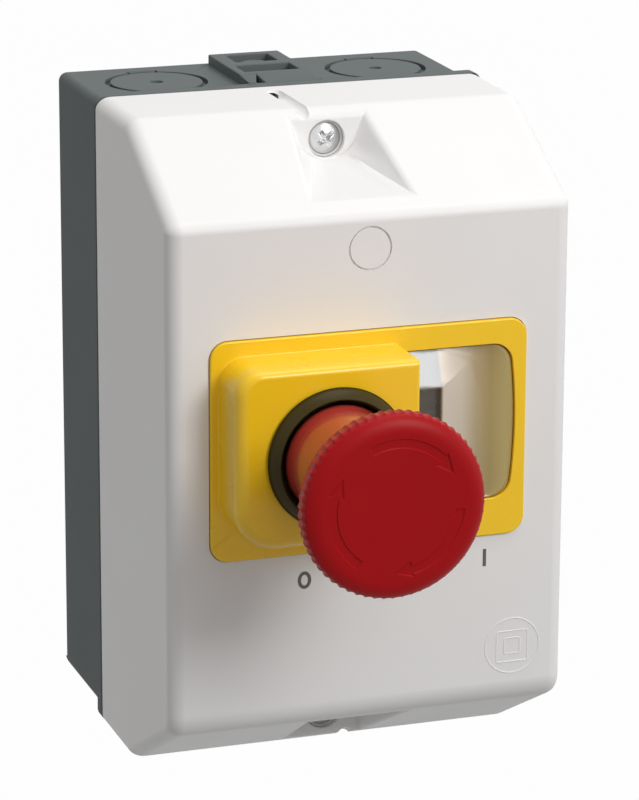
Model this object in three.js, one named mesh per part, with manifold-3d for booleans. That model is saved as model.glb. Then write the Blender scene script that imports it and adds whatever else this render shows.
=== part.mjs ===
// Motor protection breaker in a surface casing: a rear box, a cover with a yellow operator plate,
// a mushroom stop actuator, a start membrane, and the three-pole breaker on its rail inside.
// Millimetres. X to the right seen from the front, Y towards the wall, Z up.
// The wall plane is Y = 0. Depths are counted forwards from the wall, so a depth d lies at Y = -d.

import * as THREE from 'three';
import { mergeVertices } from 'three/addons/utils/BufferGeometryUtils.js';
import { ConvexGeometry } from 'three/addons/geometries/ConvexGeometry.js';
import Module from 'manifold-3d';

const wasm = await Module();
wasm.setup();

// Driving sizes of the casing
const casingWidth = 90;
const casingHeight = 147;
const baseDepth = 36;
const coverDepth = 55.7;
const flatDepth = 23.8;           // straight part of the cover before the slopes
const slopeDrop = 17.1;           // how far each slope runs inwards
const wallThickness = 2.2;
const backThickness = 2.6;
const edgeRadius = 3.5;           // side edges of the cover
const slopeExtra = 0.5;           // a slope's arcs are this much wider than the side edges

// Fits
const seatGap = 0.2;              // between pieces that rest on each other
const runGap = 0.35;              // between pieces that slide or turn
const overrun = 1;                // how far a cut reaches past a face

// Facets
const roundSides = 32;
const smallSides = 12;
const cornerSteps = 3;
const mergeTolerance = 1e-5;

const slopeRadius = edgeRadius + slopeExtra;
const halfWidth = casingWidth / 2;
const halfHeight = casingHeight / 2;
const frontDepth = baseDepth + coverDepth;
const slopeStartDepth = baseDepth + flatDepth;
const slopeTan = slopeDrop / (coverDepth - flatDepth);

// Finishes
const finishes = {
  darkGrey: [0x5e6465, 0.55, 0],
  offWhite: [0xe4e2df, 0.5, 0],
  yellow: [0xf2b61a, 0.32, 0],
  red: [0xa11a1e, 0.35, 0],
  black: [0x1c1c1b, 0.25, 0],
  rubber: [0x2a2a2a, 0.8, 0],
  membrane: [0xcfc9b8, 0.3, 0],
  zinc: [0xb9bcc0, 0.35, 1],
  brass: [0xb59a4e, 0.35, 1],
  steel: [0x9ea2a6, 0.35, 1],
  lightGrey: [0xc9cccd, 0.5, 0],
};

const motorBreaker = new THREE.Group();

function add(name, geometry, finish) {
  const [color, roughness, metalness] = finishes[finish];
  const material = new THREE.MeshStandardMaterial({ color, roughness, metalness });
  const mesh = new THREE.Mesh(geometry, material);
  mesh.name = name;
  motorBreaker.add(mesh);
}

// Solids: a closed geometry becomes one that can be cut and joined, and back again

function solid(geometry) {
  const bare = geometry.clone();
  bare.deleteAttribute('normal');
  bare.deleteAttribute('uv');
  const merged = mergeVertices(bare, mergeTolerance);
  return new wasm.Manifold(new wasm.Mesh({
    numProp: 3,
    vertProperties: new Float32Array(merged.attributes.position.array),
    triVerts: new Uint32Array(merged.index.array),
  }));
}

function shaped(body) {
  const cut = body.getMesh();
  const geometry = new THREE.BufferGeometry();
  geometry.setAttribute('position', new THREE.BufferAttribute(new Float32Array(cut.vertProperties), 3));
  geometry.setIndex(new THREE.BufferAttribute(new Uint32Array(cut.triVerts), 1));
  geometry.computeVertexNormals();
  return geometry;
}

// A block from its left, right, lower and upper sides and its near and far depths
function block(left, right, low, high, nearWall, farDepth) {
  const geometry = new THREE.BoxGeometry(right - left, farDepth - nearWall, high - low);
  return solid(geometry.translate((left + right) / 2, -(nearWall + farDepth) / 2, (low + high) / 2));
}

// Two heights in rising order
function byHeight(first, second) {
  return first < second ? [first, second] : [second, first];
}

// A rod along the depth
function rod(x, z, radius, nearWall, farDepth, sides = smallSides) {
  const geometry = new THREE.CylinderGeometry(radius, radius, farDepth - nearWall, sides);
  return solid(geometry.translate(x, -(nearWall + farDepth) / 2, z));
}

// A rod along the height
function uprightRod(x, depth, radius, low, high, sides = smallSides) {
  const geometry = new THREE.CylinderGeometry(radius, radius, high - low, sides);
  return solid(geometry.rotateX(Math.PI / 2).translate(x, -depth, (low + high) / 2));
}

// A turned piece about a front-to-back axis, from pairs of radius and depth
function turned(x, z, profile, sides = roundSides) {
  const points = profile.map(([radius, depth]) => new THREE.Vector2(radius, -depth));
  if (THREE.ShapeUtils.area(points) < 0) points.reverse();
  points.push(points[0].clone());
  return solid(new THREE.LatheGeometry(points, sides).translate(x, 0, z));
}

// An outline in width and height, with one radius for each corner, from the lower left anticlockwise
function roundedOutline(left, right, low, high, radii, steps = cornerSteps) {
  const four = Array.isArray(radii) ? radii : Array(4).fill(radii);
  const [lowerLeft, lowerRight, upperRight, upperLeft] = four;
  const corners = [
    [left + lowerLeft, low + lowerLeft, lowerLeft, 2],
    [right - lowerRight, low + lowerRight, lowerRight, 3],
    [right - upperRight, high - upperRight, upperRight, 0],
    [left + upperLeft, high - upperLeft, upperLeft, 1],
  ];
  const points = [];
  for (const [x, z, radius, quarter] of corners) {
    for (let step = 0; step <= steps; step += 1) {
      const angle = (quarter + step / steps) * Math.PI / 2;
      points.push(new THREE.Vector2(x + radius * Math.cos(angle), z + radius * Math.sin(angle)));
    }
  }
  return points;
}

// An outline in width and height, extruded from one depth to another
function slab(outline, nearWall, farDepth) {
  const shape = new THREE.Shape(outline);
  const geometry = new THREE.ExtrudeGeometry(shape, { depth: farDepth - nearWall, bevelEnabled: false });
  return solid(geometry.rotateX(Math.PI / 2).translate(0, -nearWall, 0));
}

function roundedSlab(left, right, low, high, radii, nearWall, farDepth) {
  return slab(roundedOutline(left, right, low, high, radii), nearWall, farDepth);
}

// An outline of depth and height, extruded across the width, its side edges rounded by a bevel
function acrossWidth(outline, left, right, bevel = 0) {
  const shape = new THREE.Shape(outline.map(([depth, z]) => new THREE.Vector2(-depth, z)));
  const options = { depth: right - left - 2 * bevel, bevelEnabled: bevel > 0, bevelThickness: bevel,
    bevelSize: bevel, bevelOffset: -bevel, bevelSegments: cornerSteps };
  const geometry = new THREE.ExtrudeGeometry(shape, options);
  const turn = new THREE.Matrix4().makeBasis(
    new THREE.Vector3(0, 1, 0), new THREE.Vector3(0, 0, 1), new THREE.Vector3(1, 0, 0));
  return solid(geometry.applyMatrix4(turn).translate(left + bevel, 0, 0));
}

// A corner of an outline replaced by an arc of the given radius
function softened(points, radii, steps = cornerSteps) {
  const result = [];
  points.forEach((point, index) => {
    const radius = radii[index];
    const here = new THREE.Vector2(...point);
    if (radius === 0) {
      result.push(point);
      return;
    }
    const previous = points[(index + points.length - 1) % points.length];
    const before = new THREE.Vector2(...previous).sub(here).normalize();
    const after = new THREE.Vector2(...points[(index + 1) % points.length]).sub(here).normalize();
    const half = Math.acos(before.dot(after)) / 2;
    const start = here.clone().addScaledVector(before, radius / Math.tan(half));
    const end = here.clone().addScaledVector(after, radius / Math.tan(half));
    const middle = before.clone().add(after).normalize();
    const centre = here.clone().addScaledVector(middle, radius / Math.sin(half));
    const first = start.clone().sub(centre).angle();
    let sweep = end.clone().sub(centre).angle() - first;
    if (sweep > Math.PI) sweep -= 2 * Math.PI;
    if (sweep < -Math.PI) sweep += 2 * Math.PI;
    for (let step = 0; step <= steps; step += 1) {
      const angle = first + sweep * step / steps;
      result.push([centre.x + radius * Math.cos(angle), centre.y + radius * Math.sin(angle)]);
    }
  });
  return result;
}

// A block with a rounded outline whose front edge is rounded by an amount that may differ from side to side
function softBlock(left, right, low, high, radii, nearWall, farDepth, edges, steps = cornerSteps) {
  const outline = roundedOutline(left, right, low, high, radii);
  const middleX = (left + right) / 2;
  const middleZ = (low + high) / 2;
  const rings = [];
  const normals = outline.map((point, index) => {
    const before = outline[(index + outline.length - 1) % outline.length];
    const after = outline[(index + 1) % outline.length];
    const along = after.clone().sub(before).normalize();
    return new THREE.Vector2(along.y, -along.x);
  });
  const edgeAt = (normal) => {
    const across = normal.x < 0 ? edges.left : edges.right;
    const upright = normal.y < 0 ? edges.low : edges.high;
    return across * normal.x * normal.x + upright * normal.y * normal.y;
  };
  rings.push(outline.map((point) => [point.x, -nearWall, point.y]));
  for (let step = 0; step <= steps; step += 1) {
    const angle = (step / steps) * Math.PI / 2;
    rings.push(outline.map((point, index) => {
      const edge = edgeAt(normals[index]);
      const inset = edge * (1 - Math.cos(angle));
      const depth = farDepth - edge * (1 - Math.sin(angle));
      return [point.x - normals[index].x * inset, -depth, point.y - normals[index].y * inset];
    }));
  }
  return loft(rings, [middleX, -nearWall, middleZ], [middleX, -farDepth, middleZ]);
}

// A closed skin over rings of points, with a fan of faces to a middle point at each end
function loft(rings, firstMiddle, lastMiddle) {
  const count = rings[0].length;
  const positions = [...rings.flat(2), ...firstMiddle, ...lastMiddle];
  const firstIndex = rings.length * count;
  const lastIndex = firstIndex + 1;
  const faces = [];
  for (let ring = 0; ring + 1 < rings.length; ring += 1) {
    for (let index = 0; index < count; index += 1) {
      const next = (index + 1) % count;
      const a = ring * count + index;
      const b = ring * count + next;
      faces.push(a, b, b + count, a, b + count, a + count);
    }
  }
  for (let index = 0; index < count; index += 1) {
    const next = (index + 1) % count;
    const base = (rings.length - 1) * count;
    faces.push(firstIndex, next, index);
    faces.push(lastIndex, base + index, base + next);
  }
  const geometry = new THREE.BufferGeometry();
  geometry.setAttribute('position', new THREE.BufferAttribute(new Float32Array(positions), 3));
  geometry.setIndex(faces);
  return solid(geometry);
}

// A round wire along a coil about a front-to-back axis
function coil(x, z, coilRadius, wireRadius, nearWall, farDepth, turns, stepsPerTurn = 10, wireSides = 5) {
  const rings = [];
  const length = farDepth - nearWall - 2 * wireRadius;
  const stepCount = turns * stepsPerTurn;
  for (let step = 0; step <= stepCount; step += 1) {
    const angle = 2 * Math.PI * step / stepsPerTurn;
    const depth = nearWall + wireRadius + length * step / stepCount;
    const ring = [];
    for (let side = 0; side < wireSides; side += 1) {
      const around = -2 * Math.PI * side / wireSides;
      const radius = coilRadius + wireRadius * Math.cos(around);
      ring.push([x + radius * Math.cos(angle), -(depth + wireRadius * Math.sin(around)),
        z + radius * Math.sin(angle)]);
    }
    rings.push(ring);
  }
  const middleOf = (ring) => [0, 1, 2].map(
    (part) => ring.reduce((sum, point) => sum + point[part], 0) / ring.length);
  return loft(rings, middleOf(rings[0]), middleOf(rings[rings.length - 1]));
}

// Rear box: a body behind a rim that is flush with the cover, knockouts above and below,
// a hanging bracket on top, posts for the cover screws and bosses for the rail

const rim = { step: 1.4, depth: 4, radius: edgeRadius };
const bodyHalfWidth = halfWidth - rim.step;
const bodyHalfHeight = halfHeight - rim.step;
const bodyRadius = 3;
const tongueHeight = 2;
const knockout = { inset: 18.7, shift: 1.15, depth: 17, radius: 11.6, groove: 0.9, cut: 0.8, tabWidth: 5.4,
  tabDepth: 1.5,
  dimple: 1.3 };
const coverScrew = { inset: 6.9, headRadius: 3.35, headHeight: 2, shankRadius: 1.95, tip: 23,
  washer: 0.6, washerRadius: 3.9 };
const screwPost = { radius: 3.6, top: 34 };
const wallHole = { insetX: 12, insetZ: 13.5, radius: 3.1, sinkRadius: 5, sinkDepth: 1 };
const bracket = { x: 0.4, halfWidth: 8.5, back: 1.5, height: 2.3, pocketFloor: 0.8,
  squareHalf: 5, squareNear: 3.9, squareFar: 12.4, bossRadius: 3.3, bossDepth: 10.4, bossDrop: 0.7,
  slotHalf: 6.5, slotNear: 15.6, slotFar: 23.4, notchNear: 25.8, notchLeft: 7.3, notchRight: 4.6 };
const rail = { endGap: 10, height: 7.5, halfWidth: 17.5, halfInner: 12.5, sheet: 1, seat: 1.5,
  screwInset: 6,
  screwRadius: 3.2, screwHead: 2, shankRadius: 1.4, screwTip: 2, bossRadius: 4 };
const earth = { insetX: 14.6, insetZ: 22.1, width: 11, height: 9, thickness: 8, seat: 3,
  wireRadius: 1.4, wireOffset: 2.8, screwRadius: 2.9, screwHead: 2, shankRadius: 1.7, tip: 2.2 };

const knockoutX = halfWidth - knockout.inset;
const coverScrewZ = halfHeight - coverScrew.inset;
const wallHoleX = halfWidth - wallHole.insetX;
const wallHoleZ = halfHeight - wallHole.insetZ;
const earthX = bodyHalfWidth - earth.insetX;
const earthZ = earth.insetZ - bodyHalfHeight;
const railHalfLength = halfWidth - rail.endGap;
const railScrewX = railHalfLength - rail.screwInset;
const railNear = backThickness + rail.seat;
const railFace = railNear + rail.height;
const earthNear = backThickness + earth.seat;

const outlineOf = (inset, radius) => roundedOutline(
  inset - halfWidth, halfWidth - inset, inset - halfHeight, halfHeight - inset, radius);

function knockoutGrooves(side) {
  const wallFace = side * bodyHalfHeight;
  const low = side > 0 ? wallFace - knockout.cut : wallFace - overrun;
  const high = side > 0 ? wallFace + overrun : wallFace + knockout.cut;
  const cuts = [];
  for (const x of [knockout.shift - knockoutX, knockout.shift + knockoutX]) {
    const disc = knockout.radius - knockout.groove;
    const ring = uprightRod(x, knockout.depth, knockout.radius, low, high, roundSides)
      .subtract(uprightRod(x, knockout.depth, disc, low - overrun, high + overrun, roundSides));
    const tabNear = knockout.depth - knockout.radius - knockout.tabDepth / 2;
    const tab = block(x - knockout.tabWidth / 2, x + knockout.tabWidth / 2, low, high, tabNear,
      tabNear + knockout.tabDepth);
    cuts.push(ring, tab, uprightRod(x, knockout.depth, knockout.dimple, low, high));
  }
  return cuts;
}

function hangingBracket() {
  const low = bodyHalfHeight - wallThickness;
  const high = bodyHalfHeight + bracket.height;
  const floor = bodyHalfHeight - bracket.pocketFloor;
  const top = high + overrun;
  const rimBack = baseDepth - rim.depth;
  const across = (half, near, far, bottom = floor, upper = top) => block(
    bracket.x - half, bracket.x + half, bottom, upper, near, far);
  const squarePocket = across(bracket.squareHalf, bracket.squareNear, bracket.squareFar);
  const bossTop = high - bracket.bossDrop;
  const boss = uprightRod(bracket.x, bracket.bossDepth, bracket.bossRadius, floor, bossTop, smallSides);
  const slot = across(bracket.slotHalf, bracket.slotNear, bracket.slotFar);
  const notchShape = new THREE.Shape([
    new THREE.Vector2(bracket.x - bracket.notchLeft, -rimBack),
    new THREE.Vector2(bracket.x - bracket.notchRight, -rimBack),
    new THREE.Vector2(bracket.x - bracket.notchRight, -bracket.notchNear),
  ]);
  const notch = solid(new THREE.ExtrudeGeometry(notchShape, { depth: top - floor, bevelEnabled: false })
    .translate(0, 0, floor));
  return across(bracket.halfWidth, bracket.back, rimBack + overrun, low, high)
    .subtract(squarePocket.subtract(boss)).subtract(slot).subtract(notch);
}

function rearBox() {
  const rimBack = baseDepth - rim.depth;
  const bodyOutline = outlineOf(rim.step, bodyRadius);
  let body = slab(bodyOutline, 0, rimBack + overrun)
    .add(slab(outlineOf(0, rim.radius), rimBack, baseDepth));
  const inner = rim.step + wallThickness;
  const tongueFront = baseDepth + tongueHeight;
  const cavity = slab(outlineOf(inner, bodyRadius - wallThickness / 2), backThickness,
    tongueFront + overrun);
  const tongue = slab(outlineOf(wallThickness + runGap, bodyRadius), rimBack, tongueFront);
  const pilotRadius = coverScrew.shankRadius + seatGap;
  body = body.add(tongue).subtract(cavity).add(hangingBracket());
  for (const side of [-1, 1]) {
    body = body.add(rod(0, side * coverScrewZ, screwPost.radius, backThickness - overrun, screwPost.top))
      .subtract(rod(0, side * coverScrewZ, pilotRadius, coverScrew.tip - overrun, screwPost.top + overrun))
      .add(rod(side * railScrewX, 0, rail.bossRadius, backThickness - overrun, railNear))
      .subtract(rod(side * railScrewX, 0, rail.shankRadius + runGap, rail.screwTip - seatGap,
        railNear + overrun));
    for (const cut of knockoutGrooves(side)) body = body.subtract(cut);
    for (const end of [-1, 1]) {
      const hole = rod(side * wallHoleX, end * wallHoleZ, wallHole.radius, -overrun,
        backThickness + overrun)
        .add(rod(side * wallHoleX, end * wallHoleZ, wallHole.sinkRadius, backThickness - wallHole.sinkDepth,
          backThickness + overrun));
      body = body.subtract(hole);
    }
  }
  const earthBoss = block(earthX - earth.width / 2, earthX + earth.width / 2, earthZ - earth.height / 2,
    earthZ + earth.height / 2, backThickness - overrun, earthNear);
  const earthHole = rod(earthX, earthZ, earth.shankRadius + runGap, earth.tip - seatGap,
    earthNear + overrun);
  return body.add(earthBoss).subtract(earthHole);
}

add('rear_box', shaped(rearBox()), 'darkGrey');

// Screws: a round head with a crossed recess, a shank behind it

const screwShares = { crown: 0.35, shoulder: 0.75, shoulderDrop: 0.3, arm: 0.55, slot: 0.14, recess: 0.6 };

function panScrew(x, z, headRadius, headHeight, shankRadius, tipDepth, underHead) {
  const crown = headHeight * screwShares.crown;
  const face = underHead + headHeight;
  const body = turned(x, z, [[0, tipDepth], [shankRadius, tipDepth + shankRadius / 2],
    [shankRadius, underHead],
    [headRadius, underHead], [headRadius, face - crown],
    [headRadius * screwShares.shoulder, face - crown * screwShares.shoulderDrop], [0, face]], smallSides);
  const arm = headRadius * screwShares.arm;
  const half = headRadius * screwShares.slot;
  const recess = face - headHeight * screwShares.recess;
  const cross = block(x - arm, x + arm, z - half, z + half, recess, face + overrun)
    .add(block(x - half, x + half, z - arm, z + arm, recess, face + overrun));
  return body.subtract(cross);
}

function flatRing(x, z, outer, inner, nearWall, farDepth, sides = smallSides) {
  return turned(x, z, [[inner, nearWall], [outer, nearWall], [outer, farDepth], [inner, farDepth]], sides);
}

// Cover: straight sides, two slopes, a flat front with a recess for the operator plate

const plate = { side: 9, low: -17.9, high: 31.1, radius: 4, proud: 0.8, thickness: 1.4, seal: 0.4,
  landX: 1.5, landZ: 2, insertDepth: 4.2 };
const ledge = { rise: 4.2, thickness: 1.6, width: 1.5 };
const pocket = { sink: 2.7, lowHalf: 5, ledgeDrop: 11.3, highHalf: 8, frontHalf: 11.6,
  frontGap: 4.1, frontRise: 3.4, boreRadius: 4.2, boreDepth: 3, bossRadius: 4 };
const sealGroove = { x: -5.3, radius: 1.9, lift: 0.9, rise: 4, holeX: -6.3, holeRadius: 0.8,
  holeRise: 7.7 };
const frontKnockout = { drop: 7.4, radius: 4.9, groove: 0.35, cut: 0.4 };

const coverBack = baseDepth + runGap;
const plateLeft = plate.side - halfWidth;
const plateRight = halfWidth - plate.side;
const ledgeNear = baseDepth + ledge.rise;
const ledgeFar = ledgeNear + ledge.thickness;
const pocketFloor = slopeStartDepth + pocket.sink;
const pocketFront = frontDepth - pocket.frontGap;
const frontKnockoutZ = halfHeight - slopeDrop - frontKnockout.drop;

const flangeBack = frontDepth + plate.proud - plate.thickness;
const recessDepth = flangeBack - plate.seal;
const openingLeft = plateLeft + plate.landX;
const openingRight = plateRight - plate.landX;
const openingLow = plate.low + plate.landZ;
const openingHigh = plate.high - plate.landZ;

// The cover's side profile, drawn in by a distance all round
function coverProfile(inset, backDepth) {
  const slopeAngle = Math.atan(slopeTan);
  const start = slopeStartDepth - inset * Math.tan(slopeAngle / 2);
  const end = frontDepth - inset;
  const high = halfHeight - inset;
  const frontHigh = halfHeight - slopeDrop - inset * Math.tan((Math.PI / 2 - slopeAngle) / 2);
  return [[backDepth, -high], [start, -high], [end, -frontHigh], [end, frontHigh], [start, high],
    [backDepth, high]];
}

// The screw pocket in a slope: an upright floor, a ledge falling to the front and two flared sides
function screwPocket(side, grow) {
  const floor = pocketFloor - grow;
  const cornerZ = halfHeight - pocket.ledgeDrop - grow;
  const rise = pocket.ledgeDrop + grow;
  const flare = (pocket.highHalf - pocket.lowHalf) / (pocket.ledgeDrop - slopeRadius);
  const run = pocketFront - pocketFloor;
  const reach = 1 + overrun / pocket.ledgeDrop;
  const points = [];
  for (const hand of [-1, 1]) {
    const lowHalf = pocket.lowHalf + grow;
    const highHalf = lowHalf + flare * rise * reach;
    const frontHalf = lowHalf + (pocket.frontHalf - pocket.lowHalf) * reach;
    points.push(new THREE.Vector3(hand * lowHalf, -floor, side * cornerZ));
    points.push(new THREE.Vector3(hand * highHalf, -floor, side * (cornerZ + rise * reach)));
    points.push(new THREE.Vector3(hand * frontHalf, -(floor + run * reach),
      side * (cornerZ - pocket.frontRise * reach)));
    points.push(new THREE.Vector3(hand * (frontHalf + overrun), -(floor + run * reach),
      side * (cornerZ - pocket.frontRise * reach + overrun)));
  }
  return solid(new ConvexGeometry(points));
}

function coverShell() {
  const bevelRun = edgeRadius + overrun;
  const arcs = [0, slopeRadius, slopeRadius, slopeRadius, slopeRadius, 0];
  const outerProfile = softened(coverProfile(0, coverBack - bevelRun), arcs);
  const behind = block(-casingWidth, casingWidth, -casingHeight, casingHeight, coverBack - 2 * bevelRun,
    coverBack);
  let cover = acrossWidth(outerProfile, -halfWidth, halfWidth, edgeRadius).subtract(behind);
  const innerHalf = halfWidth - wallThickness;
  let hollow = acrossWidth(coverProfile(wallThickness, coverBack - overrun), -innerHalf, innerHalf);
  const ledgeBlock = slab(outlineOf(wallThickness / 2, edgeRadius), ledgeNear, ledgeFar)
    .subtract(slab(outlineOf(wallThickness + ledge.width, bodyRadius), ledgeNear - overrun,
      ledgeFar + overrun));
  hollow = hollow.subtract(ledgeBlock);
  const screwHole = coverScrew.shankRadius + runGap;
  for (const side of [-1, 1]) {
    hollow = hollow.subtract(screwPocket(side, wallThickness));
    hollow = hollow.subtract(rod(0, side * coverScrewZ, pocket.bossRadius, ledgeFar, pocketFloor));
  }
  cover = cover.subtract(hollow);
  for (const side of [-1, 1]) {
    const grooveZ = side * (halfHeight + sealGroove.lift);
    const boreBottom = pocketFloor - pocket.boreDepth;
    cover = cover.subtract(screwPocket(side, 0))
      .subtract(rod(0, side * coverScrewZ, pocket.boreRadius, boreBottom, pocketFloor + overrun,
        roundSides))
      .subtract(rod(0, side * coverScrewZ, screwHole, ledgeNear, pocketFloor))
      .subtract(rod(sealGroove.x, grooveZ, sealGroove.radius, baseDepth + sealGroove.rise,
        pocketFloor + overrun, roundSides));
    const holeEnds = byHeight(side * (halfHeight - wallThickness - overrun), side * (halfHeight + overrun));
    const holeDepth = baseDepth + sealGroove.holeRise;
    cover = cover.subtract(uprightRod(sealGroove.holeX, holeDepth, sealGroove.holeRadius, ...holeEnds));
  }
  cover = cover.subtract(flatRing(0, frontKnockoutZ, frontKnockout.radius,
    frontKnockout.radius - frontKnockout.groove,
    frontDepth - frontKnockout.cut, frontDepth + overrun, roundSides));
  const recess = roundedSlab(plateLeft - seatGap, plateRight + seatGap, plate.low - seatGap,
    plate.high + seatGap,
    plate.radius + seatGap, recessDepth, frontDepth + overrun);
  const opening = roundedSlab(openingLeft, openingRight, openingLow, openingHigh,
    plate.radius - plate.landX,
    frontDepth - 2 * wallThickness, frontDepth + overrun);
  return cover.subtract(recess).subtract(opening);
}

add('cover_shell', shaped(coverShell()), 'offWhite');

function coverGasket() {
  const inset = wallThickness + runGap;
  const width = rim.step - runGap;
  const near = baseDepth + tongueHeight + seatGap;
  return slab(outlineOf(inset, bodyRadius), near, ledgeNear - seatGap)
    .subtract(slab(outlineOf(inset + width, bodyRadius - width), near - overrun, ledgeNear + overrun));
}

add('cover_gasket', shaped(coverGasket()), 'rubber');

for (const [place, side] of [['top', 1], ['bottom', -1]]) {
  const seat = pocketFloor - pocket.boreDepth;
  const washerFront = seat + coverScrew.washer;
  add(`cover_screw_washer_${place}`, shaped(flatRing(0, side * coverScrewZ, coverScrew.washerRadius,
    coverScrew.shankRadius + seatGap, seat, washerFront)), 'lightGrey');
  add(`cover_screw_${place}`, shaped(panScrew(0, side * coverScrewZ, coverScrew.headRadius,
    coverScrew.headHeight,
    coverScrew.shankRadius, coverScrew.tip, washerFront)), 'zinc');
}

// Operator plate: a thin flange round the start window and a raised box for the stop actuator

const box = { marginLeft: 1.5, width: 40.8, marginLow: 5.5, marginHigh: 3.6, proud: 13,
  wall: 2, leftRadius: 9, rightRadius: 1, edges: { left: 5, right: 1.2, low: 4, high: 2 } };
const windowPane = { marginLow: 8.5, marginHigh: 5.4, marginRight: 3.8, bow: 1.3, cornerRadius: 4,
  leftRadius: 0.6 };
const boxLeft = plateLeft + box.marginLeft;
const boxRight = boxLeft + box.width;
const boxLow = plate.low + box.marginLow;
const boxHigh = plate.high - box.marginHigh;
const paneLow = plate.low + windowPane.marginLow;
const paneHigh = plate.high - windowPane.marginHigh;
const paneRight = plateRight - windowPane.marginRight;
const collar = { offset: 2.1, radius: 15.3, lipRadius: 13.2, height: 3, tubeRadius: 13.5, bore: 12.5,
  tubeLength: 10.5,
  floorThickness: 2, stemBore: 6, seal: 0.5, nutRadius: 15.6, nutHeight: 3.6, nutDrop: 0.9, nutSides: 12 };
const axis = { x: (boxLeft + boxRight) / 2 + collar.offset, z: (boxLow + boxHigh) / 2 };

const plateFace = frontDepth + plate.proud;
const boxFace = plateFace + box.proud;
const insertBack = flangeBack - plate.insertDepth;
const collarFloor = boxFace - collar.tubeLength;

// The breaker's two buttons, which the actuator and the membrane act on
const startButtonSize = { gap: 1.9, width: 8.2, halfHeight: 9.5, radius: 1, lift: 0.7, length: 17.2,
  travel: 4 };
const startButton = { ...startButtonSize, left: boxRight + startButtonSize.gap,
  right: boxRight + startButtonSize.gap + startButtonSize.width, front: plateFace + startButtonSize.lift };

// The window's outline, with its right edge bowed outwards, drawn in by a distance
function windowOutline(inset, steps = cornerSteps) {
  const left = boxRight + inset;
  const right = paneRight - inset;
  const low = paneLow + inset;
  const high = paneHigh - inset;
  const corner = windowPane.cornerRadius - inset / 2;
  const plain = roundedOutline(left, right, low, high,
    [windowPane.leftRadius, corner, corner, windowPane.leftRadius], steps);
  const lowerEnd = 2 * steps + 2;
  const edge = [];
  for (let step = 1; step <= steps; step += 1) {
    const z = low + corner + (high - low - 2 * corner) * step / (steps + 1);
    edge.push(new THREE.Vector2(right, z));
  }
  const points = [...plain.slice(0, lowerEnd), ...edge, ...plain.slice(lowerEnd)];
  const middle = (low + high) / 2;
  const half = (high - low) / 2;
  return points.map((point) => {
    const share = (point.y - middle) / half;
    const towards = Math.max(0, (point.x - left) / (right - left));
    return new THREE.Vector2(point.x + windowPane.bow * towards * (1 - share * share), point.y);
  });
}

function operatorPlate() {
  const flange = roundedSlab(plateLeft, plateRight, plate.low, plate.high, plate.radius, flangeBack,
    plateFace);
  const insert = roundedSlab(openingLeft + runGap, openingRight - runGap, openingLow + runGap,
    openingHigh - runGap,
    plate.radius - plate.landX, insertBack, flangeBack + plate.thickness / 2);
  const corners = [box.leftRadius, box.rightRadius, box.rightRadius, box.leftRadius];
  const raised = softBlock(boxLeft, boxRight, boxLow, boxHigh, corners, flangeBack, boxFace, box.edges);
  const innerCorner = box.leftRadius - box.wall;
  const hollow = softBlock(boxLeft + box.wall, boxRight - box.wall, boxLow + box.wall, boxHigh - box.wall,
    [innerCorner, box.rightRadius, box.rightRadius, innerCorner], insertBack - overrun, boxFace - box.wall,
    box.edges);
  const pane = slab(windowOutline(0), insertBack - overrun, plateFace + overrun);
  const hole = rod(axis.x, axis.z, collar.tubeRadius + seatGap, boxFace - 2 * box.wall, boxFace + overrun,
    roundSides);
  return flange.add(insert).add(raised).subtract(hollow).subtract(pane).subtract(hole);
}

add('operator_plate', shaped(operatorPlate()), 'yellow');

const plateSeal = roundedSlab(plateLeft + seatGap, plateRight - seatGap, plate.low + seatGap,
  plate.high - seatGap,
  plate.radius, recessDepth, flangeBack)
  .subtract(roundedSlab(openingLeft, openingRight, openingLow, openingHigh, plate.radius - plate.landX,
    recessDepth - overrun, flangeBack + overrun));
add('plate_seal', shaped(plateSeal), 'rubber');

// Start membrane: a soft pillow in the window, its flange clamped behind the plate

const membrane = { gap: 0.3, flangeThickness: 1.2, flangeLap: 1.1, wall: 0.9, margin: 0.2, rise: 3.1,
  edge: 0.2 };
const clamp = { thickness: 1.1, screwRadius: 0.9, headRadius: 1.5, headHeight: 0.7, screwLeft: 2.7,
  screwRight: 2.2,
  inset: 1.55 };
const clampScrewX = [boxRight + clamp.screwLeft, paneRight - clamp.screwRight];

const membraneNear = insertBack - membrane.flangeThickness;
const clampNear = membraneNear - clamp.thickness;

// The pillow as a loft from the window's outline to the flat patch over the button
function pillow(inset, drop) {
  const outline = windowOutline(inset);
  const left = boxRight + inset;
  const right = paneRight + windowPane.bow - inset;
  const middleZ = (paneLow + paneHigh) / 2;
  const halfZ = (paneHigh - paneLow) / 2 - inset;
  const flatRight = startButton.right - membrane.margin - drop;
  const flatHalf = startButton.halfHeight + membrane.margin - drop;
  const flatMiddle = axis.z;
  const edgeDepth = plateFace - membrane.edge - drop;
  const flatDepthHere = edgeDepth + membrane.rise;
  const back = membraneNear - (drop > 0 ? overrun : 0);
  const rings = [back, edgeDepth].map((depth) => outline.map((point) => [point.x, -depth, point.y]));
  rings.push(outline.map((point) => {
    const x = left + (point.x - left) * (flatRight - left) / (right - left);
    const z = flatMiddle + (point.y - middleZ) * flatHalf / halfZ;
    return [x, -flatDepthHere, z];
  }));
  return loft(rings, [(left + right) / 2, -back, middleZ],
    [(left + flatRight) / 2, -flatDepthHere, flatMiddle]);
}

const lapLeft = boxRight - box.wall + seatGap;
const lapRight = openingRight - runGap - seatGap;
const lapLow = openingLow + runGap + seatGap;
const lapHigh = openingHigh - runGap - seatGap;

function clampHoles(nearWall, farDepth, radius) {
  const holes = [];
  for (const x of clampScrewX) {
    for (const z of [paneLow - clamp.inset, paneHigh + clamp.inset]) {
      holes.push(rod(x, z, radius, nearWall, farDepth, smallSides / 2));
    }
  }
  return holes;
}

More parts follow.
